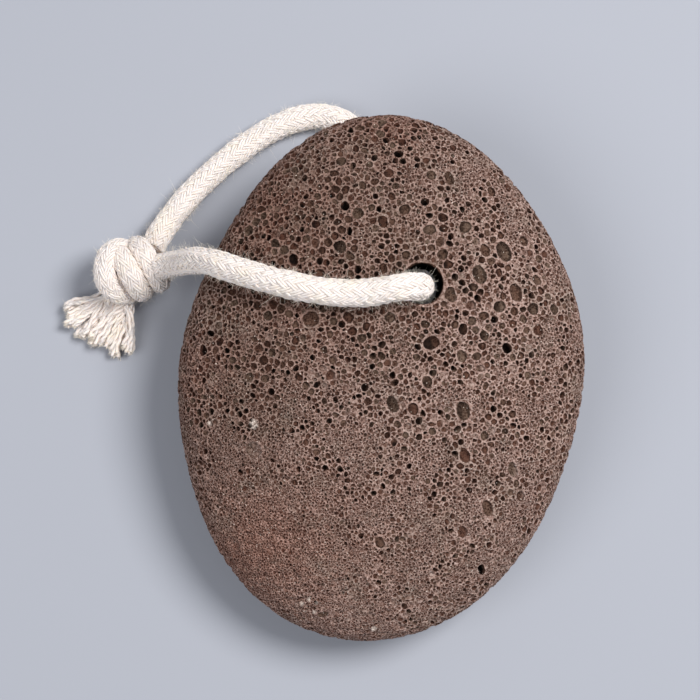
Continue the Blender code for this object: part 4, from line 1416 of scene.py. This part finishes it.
def make_stone(material):
    """The stone: its pores' rims and the walls between them, then the pores' insides and the bore."""
    dice = np.random.default_rng(STONE_SEED)
    centres, radii = choose_pores(dice)
    corners, sides = pore_rims(centres, radii, dice)
    mouths = [mouth_ring(1, dice), mouth_ring(-1, dice)]
    fills = fill_points(centres, radii, dice)
    valid = np.arange(SIDES_MOST)[None] < sides[:, None]
    plain = np.concatenate([mouths[0], mouths[1], corners[valid], fills])
    broken = np.clip(waves(plain, BROKEN_LENGTH, BROKEN_SEED), 0, 1.2) ** 1.5
    lift = RIM_LIFT * dice.normal(0, 1, len(plain)) - BROKEN_DEPTH * broken
    uneven = plain + lift[:, None] * outward(plain)
    mouths = uneven[: 2 * MOUTH_SIDES].reshape(2, MOUTH_SIDES, 3)
    rims = np.full(valid.shape, -1)
    rims[valid] = 2 * MOUTH_SIDES + np.arange(valid.sum())
    corners = uneven[rims]
    loops = [np.arange(MOUTH_SIDES), MOUTH_SIDES + np.arange(MOUTH_SIDES)]
    loops += [rim[:count] for rim, count in zip(rims, sides)]

    walls = Surface()
    walls.add(uneven, 0.0, 0.0)
    lay_walls(walls, loops, plain)
    walls.finish("stone_walls", material)
    hollows = Surface()
    dig_pores(hollows, corners, centres, radii, sides, dice)
    drill(hollows, mouths, dice)
    hollows.finish("stone_hollows", material)


def tints(points):
    """How red, how pale and how fine the stone is at each point, and how dark, partly in its own colour and
    partly by painted shade.
    """
    x, y, z = points.T
    values = {}
    for label, places in (("red", RED_PLACES), ("pale", PALE_PLACES), ("shade", DARK_AND_SHADED_PLACES)):
        value = np.zeros(len(points))
        for a, b, spread, strength in places:
            value += strength * np.exp(-((x - a) ** 2 + (y - b) ** 2) / spread**2) * (z > TINT_FROM)
        values[label] = np.clip(value, 0, 1)
    values["fine"] = 1 - smooth_step(pore_size(points), FROTH_FINE, FROTH_COARSE)
    return values


# ================================================================ Materials


MIX = "ShaderNodeMix"
MATH = "ShaderNodeMath"
RANGE = "ShaderNodeMapRange"
VECTOR = "ShaderNodeVectorMath"
NOISE = "ShaderNodeTexNoise"
CELLS = "ShaderNodeTexVoronoi"

MIX_A = 6  # sockets of a Mix node for colours
MIX_B = 7
COLOURS = {"data_type": "RGBA", "output": 2}  # and what makes it one
SMOOTH = {"interpolation_type": "SMOOTHSTEP"}
WHITE = (1.0, 1.0, 1.0, 1.0)


def feed(node, inputs):
    """Gives a node's inputs their values, or the sockets that feed them."""
    for name, value in inputs.items():
        if isinstance(value, bpy.types.NodeSocket):
            node.id_data.links.new(value, node.inputs[name])
        else:
            node.inputs[name].default_value = value


def add_node(tree, kind, inputs=None, output=0, **settings):
    """Adds a node with its settings and what feeds it, and gives one of its outputs."""
    made = tree.nodes.new(kind)
    for name, value in settings.items():
        setattr(made, name, value)
    feed(made, inputs or {})
    return made.outputs[output]


def new_material(name):
    """A material with its node tree and its shader."""
    material = bpy.data.materials.new(name)
    material.use_nodes = True
    tree = material.node_tree
    return material, tree, tree.nodes["Principled BSDF"]


def fine_froth(tree, place, bent, fine):
    """Where the finest froth has a pit: bubbles with thin walls, some broken open and some closed."""
    bubbles = {"Vector": bent, "Scale": 1 / BUBBLE_SIZE, "Randomness": 1.0}
    edge = add_node(tree, CELLS, bubbles, feature="DISTANCE_TO_EDGE")
    inner = add_node(tree, RANGE, {"Value": edge, "From Min": 0.05, "From Max": 0.20}, **SMOOTH)
    luck = add_node(tree, CELLS, bubbles, output="Color", feature="F1")
    luck = add_node(tree, "ShaderNodeSeparateColor", {"Color": luck})
    crowding = add_node(tree, NOISE, {"Vector": place, "Scale": 1 / CROWDING_SIZE, "Detail": 2.0})
    chance = add_node(tree, MATH, {0: fine, 1: 0.45, 2: crowding}, operation="MULTIPLY_ADD")
    chance = add_node(tree, MATH, {0: chance, 1: luck}, operation="ADD")
    broken = add_node(tree, RANGE, {"Value": chance, "From Min": 0.86, "From Max": 1.22})
    return add_node(tree, MATH, {0: inner, 1: broken}, operation="MULTIPLY")


def stone_colour(tree, place, hollow_shade, tone, red):
    """The stone's colour: its walls, redder or greyer in places, then the pores' sides, their own browner
    colour darkened with painted shade, and painted shade near black far down.
    """
    wall = add_node(tree, MIX, {0: red, MIX_A: linear(WALL_HEX), MIX_B: linear(RED_HEX)}, **COLOURS)
    mottle = {"Vector": place, "Scale": 1 / MOTTLE_SIZE, "Detail": 3.0, "Roughness": 0.6}
    mottle = add_node(tree, NOISE, mottle)
    grey = add_node(tree, RANGE, {"Value": mottle, "From Min": 0.50, "From Max": 0.70, "To Max": 0.6})
    wall = add_node(tree, MIX, {0: grey, MIX_A: wall, MIX_B: linear(GREY_HEX)}, **COLOURS)
    side = {0: red, MIX_A: linear(HOLLOW_HEX), MIX_B: linear(RED_HOLLOW_HEX)}
    side = add_node(tree, MIX, side, **COLOURS)
    olive = add_node(tree, RANGE, {"Value": tone, "From Min": -0.2, "From Max": 0.9})
    side = add_node(tree, MIX, {0: olive, MIX_A: side, MIX_B: linear(OLIVE_HOLLOW_HEX)}, **COLOURS)
    inside = add_node(tree, RANGE, {"Value": hollow_shade, "From Min": 0.05, "From Max": 0.40}, **SMOOTH)
    colour = add_node(tree, MIX, {0: inside, MIX_A: wall, MIX_B: side}, **COLOURS)
    # painted shade, near black, far down in the pores and the bore
    deep_shade = add_node(tree, RANGE, {"Value": hollow_shade, "From Min": 0.62, "From Max": 1.02}, **SMOOTH)
    return add_node(tree, MIX, {0: deep_shade, MIX_A: colour, MIX_B: linear(DEEP_SHADE_HEX)}, **COLOURS)


def stone_brightness(tree, grain, pit, tone, shade, fine):
    """How bright the stone is, in red, green and blue, with painted shade in the finest froth's pits and on
    the darker places: the darker a place, the warmer it is, partly standing in for warm light bounced in the
    pits.
    """
    speckle = {"Value": grain, "From Min": 0.30, "From Max": 0.70, "To Min": 0.50, "To Max": 1.50}
    bright = add_node(tree, RANGE, speckle)
    # the finest froth's pits are darkened here as painted shade; tone and the fine froth change it as the
    # stone's own colour
    for value, change, start in ((tone, 0.20, 1.0), (pit, -0.66, 1.03), (fine, FINE_LIGHT, 1.0)):
        factor = add_node(tree, MATH, {0: value, 1: change, 2: start}, operation="MULTIPLY_ADD")
        bright = add_node(tree, MATH, {0: bright, 1: factor}, operation="MULTIPLY")
    warm = [add_node(tree, MATH, {0: bright, 1: power}, operation="POWER") for power in WARMTH]
    warm = add_node(tree, "ShaderNodeCombineXYZ", dict(enumerate(warm)))
    # painted shade, partly the stone's own darker colour, on the darker places
    shaded = add_node(tree, MIX, {0: shade, MIX_A: WHITE, MIX_B: SHADE_TINT}, **COLOURS)
    return add_node(tree, VECTOR, {0: warm, 1: shaded}, operation="MULTIPLY")


def grains_and_glints(tree, place, bent, fine, pale):
    """Where pale grains sit: single specks, partly painted highlights on the froth's ridges, more of them in
    the fine froth, and patches of mineral grains at named places.
    """
    specks = add_node(tree, CELLS, {"Vector": bent, "Scale": 1 / SPECK_SIZE, "Randomness": 1.0})
    luck = add_node(tree, "ShaderNodeSeparateColor", {"Color": specks.node.outputs["Color"]})
    few = add_node(tree, MATH, {0: fine, 1: -0.30, 2: 0.80}, operation="MULTIPLY_ADD")
    few = add_node(tree, MATH, {0: luck, 1: few}, operation="GREATER_THAN")
    # single specks: partly mineral grains, partly painted ridge highlights
    specks_and_glints = {"Value": specks, "From Min": 0.12, "From Max": 0.17, "To Min": 0.85, "To Max": 0.0}
    specks_and_glints = add_node(tree, RANGE, specks_and_glints)
    specks_and_glints = add_node(tree, MATH, {0: specks_and_glints, 1: few}, operation="MULTIPLY")
    crystals = add_node(tree, NOISE, {"Vector": place, "Scale": 1 / CRYSTAL_SIZE, "Detail": 2.0})
    patch = add_node(tree, MATH, {0: crystals, 1: pale}, operation="MULTIPLY")
    patch = add_node(tree, RANGE, {"Value": patch, "From Min": 0.22, "From Max": 0.5})
    return add_node(tree, MATH, {0: specks_and_glints, 1: patch}, operation="MAXIMUM")


def pumice_material():
    """Rough volcanic glass foam, cut and tumbled: matt, with pale froth walls, hollows darkened with painted
    shade, and pale grains partly painted as highlights.
    """
    material, tree, shader = new_material("pumice cut and tumbled")
    place = add_node(tree, "ShaderNodeTexCoord", output="Object")
    hollow_shade, tone, red, pale, shade, fine = (
        add_node(tree, "ShaderNodeAttribute", output="Fac", attribute_name=name)
        for name in ("hollow_shade", "tone", "red", "pale", "shade", "fine")
    )
    grain = {"Vector": place, "Scale": 1 / GRAIN_SIZE, "Detail": 4.0, "Roughness": 0.7}
    grain = add_node(tree, NOISE, grain)
    wander = add_node(tree, NOISE, {"Vector": place, "Scale": 1 / BEND_SIZE, "Detail": 1.0}, "Color")
    bent = add_node(tree, VECTOR, {0: wander, 1: BEND, 2: place}, operation="MULTIPLY_ADD")
    pit = fine_froth(tree, place, bent, fine)
    colour = stone_colour(tree, place, hollow_shade, tone, red)
    bright = stone_brightness(tree, grain, pit, tone, shade, fine)
    colour = add_node(tree, VECTOR, {0: colour, 1: bright}, operation="MULTIPLY")
    grain_and_glint = grains_and_glints(tree, place, bent, fine, pale)
    colour = add_node(tree, MIX, {0: grain_and_glint, MIX_A: colour, MIX_B: linear(GRAIN_AND_GLINT_HEX)}, **COLOURS)
    relief = add_node(tree, MATH, {0: pit, 1: -1.2, 2: grain}, operation="MULTIPLY_ADD")
    relief = {"Height": relief, "Strength": 0.9, "Distance": PIT_DEPTH}
    bump = add_node(tree, "ShaderNodeBump", relief)
    feed(shader, {"Base Color": colour, "Normal": bump, "Roughness": 0.92, "Specular IOR Level": 0.2})
    return material


def cotton_material():
    """Unbleached cotton yarn, spun and plied: soft and matt, with painted shade on each yarn's side that
    faces into the braid or down, between the yarns.
    """
    material, tree, shader = new_material("cotton yarn plied and braided")
    place = add_node(tree, "ShaderNodeTexCoord", output="Object")
    twist, crown = (
        add_node(tree, "ShaderNodeAttribute", output="Fac", attribute_name=name)
        for name in ("twist", "crown")
    )
    double = add_node(tree, MATH, {0: twist, 1: 2.0}, operation="MULTIPLY")
    plies = add_node(tree, MATH, {0: double}, operation="SINE")
    fibre = add_node(tree, NOISE, {"Vector": place, "Scale": 1 / SPUN_FIBRE_SIZE, "Detail": 2.0})
    dirt = add_node(tree, NOISE, {"Vector": place, "Scale": 1 / STAIN_SIZE, "Detail": 3.0})
    stain = add_node(tree, RANGE, {"Value": dirt, "From Min": 0.52, "From Max": 0.75, "To Max": 0.5})
    # painted shade on the side of each yarn that faces away from the outside
    crease_shade = {"Value": crown, "From Min": 0.75, "From Max": -0.3, "To Max": 0.5}
    crease_shade = add_node(tree, RANGE, crease_shade, **SMOOTH)
    colour = {0: stain, MIX_A: linear(COTTON_HEX), MIX_B: linear(COTTON_STAIN_HEX)}
    colour = add_node(tree, MIX, colour, **COLOURS)
    colour = {0: crease_shade, MIX_A: colour, MIX_B: linear(COTTON_CREASE_SHADE_HEX)}
    colour = add_node(tree, MIX, colour, **COLOURS)
    relief = add_node(tree, MATH, {0: plies, 1: 0.5, 2: fibre}, operation="MULTIPLY_ADD")
    relief = {"Height": relief, "Strength": 0.5, "Distance": PLY_DEPTH}
    bump = add_node(tree, "ShaderNodeBump", relief)
    feed(shader, {"Base Color": colour, "Normal": bump, "Roughness": 1.0, "Specular IOR Level": 0.05})
    feed(shader, {"Subsurface Weight": 0.5, "Subsurface Radius": (1.0, 0.85, 0.7)})
    feed(shader, {"Subsurface Scale": 0.0006, "Sheen Weight": 0.15, "Sheen Roughness": 0.6})
    return material


def fluff_material():
    """Single cotton fibres that stand off the yarn: paler than it, with the same faint stains."""
    material, tree, shader = new_material("loose cotton fibres")
    place = add_node(tree, "ShaderNodeTexCoord", output="Object")
    dirt = add_node(tree, NOISE, {"Vector": place, "Scale": 1 / FLUFF_STAIN_SIZE, "Detail": 2.0})
    colour = {0: dirt, MIX_A: linear(FLUFF_HEX), MIX_B: linear(COTTON_STAIN_HEX)}
    feed(shader, {"Base Color": add_node(tree, MIX, colour, **COLOURS), "Roughness": 0.8})
    return material


def floor_material():
    """Matt pale card."""
    material, _, shader = new_material("matt pale card")
    feed(shader, {"Base Color": linear(FLOOR_HEX), "Roughness": 0.8})
    return material


# ================================================================ Floor and lights


def make_floor():
    """A plain pale floor, just under the object."""
    mesh = bpy.data.meshes.new("floor")
    corners = [(x * FLOOR_HALF, y * FLOOR_HALF, 0) for x, y in ((-1, -1), (1, -1), (1, 1), (-1, 1))]
    mesh.from_pydata(corners, [], [(0, 1, 2, 3)])
    mesh.materials.append(floor_material())
    floor = bpy.data.objects.new("floor", mesh)
    floor.location.z = -FLOOR_GAP
    bpy.context.scene.collection.objects.link(floor)


def add_light(name, place, size, power, colour):
    """A round soft light that shines at the middle of the scene."""
    light = bpy.data.lights.new(name, "AREA")
    light.shape = "DISK"
    light.size = size
    light.energy = power
    light.color = colour
    lamp = bpy.data.objects.new(name, light)
    lamp.location = place
    lamp.rotation_mode = "QUATERNION"
    lamp.rotation_quaternion = Vector(place).to_track_quat("Z", "Y")
    bpy.context.scene.collection.objects.link(lamp)


def make_lights():
    """Plain soft studio light: a key, a weaker fill and a faint cool sky."""
    for name, light in LIGHTS.items():
        add_light(name, *light)
    world = bpy.data.worlds.new("studio")
    world.use_nodes = True
    feed(world.node_tree.nodes["Background"], {"Color": SKY_COLOUR, "Strength": SKY_STRENGTH})
    bpy.context.scene.world = world
    bpy.context.scene.view_settings.view_transform = "Standard"


# ================================================================ Building

make_camera()
cotton = cotton_material()
fluff = fluff_material()
cords, cord_fibres = make_cords(cotton, fluff)
knot, knot_fibres = make_knot(cotton, fluff)
going_along = [knot, knot_fibres, cord_fibres]
frayed_dice = np.random.default_rng(FRAYED_SEED)
for end_name, (root, tip, widths) in FRAYED_ENDS.items():
    going_along += make_frayed_end(end_name, root, tip, widths, cotton, fluff, frayed_dice)
mouth_places = [placed(face_point(HOLE_X, HOLE_Y, side)[None])[0] for side in (1, -1)]
make_stone(pumice_material())
make_floor()
make_lights()
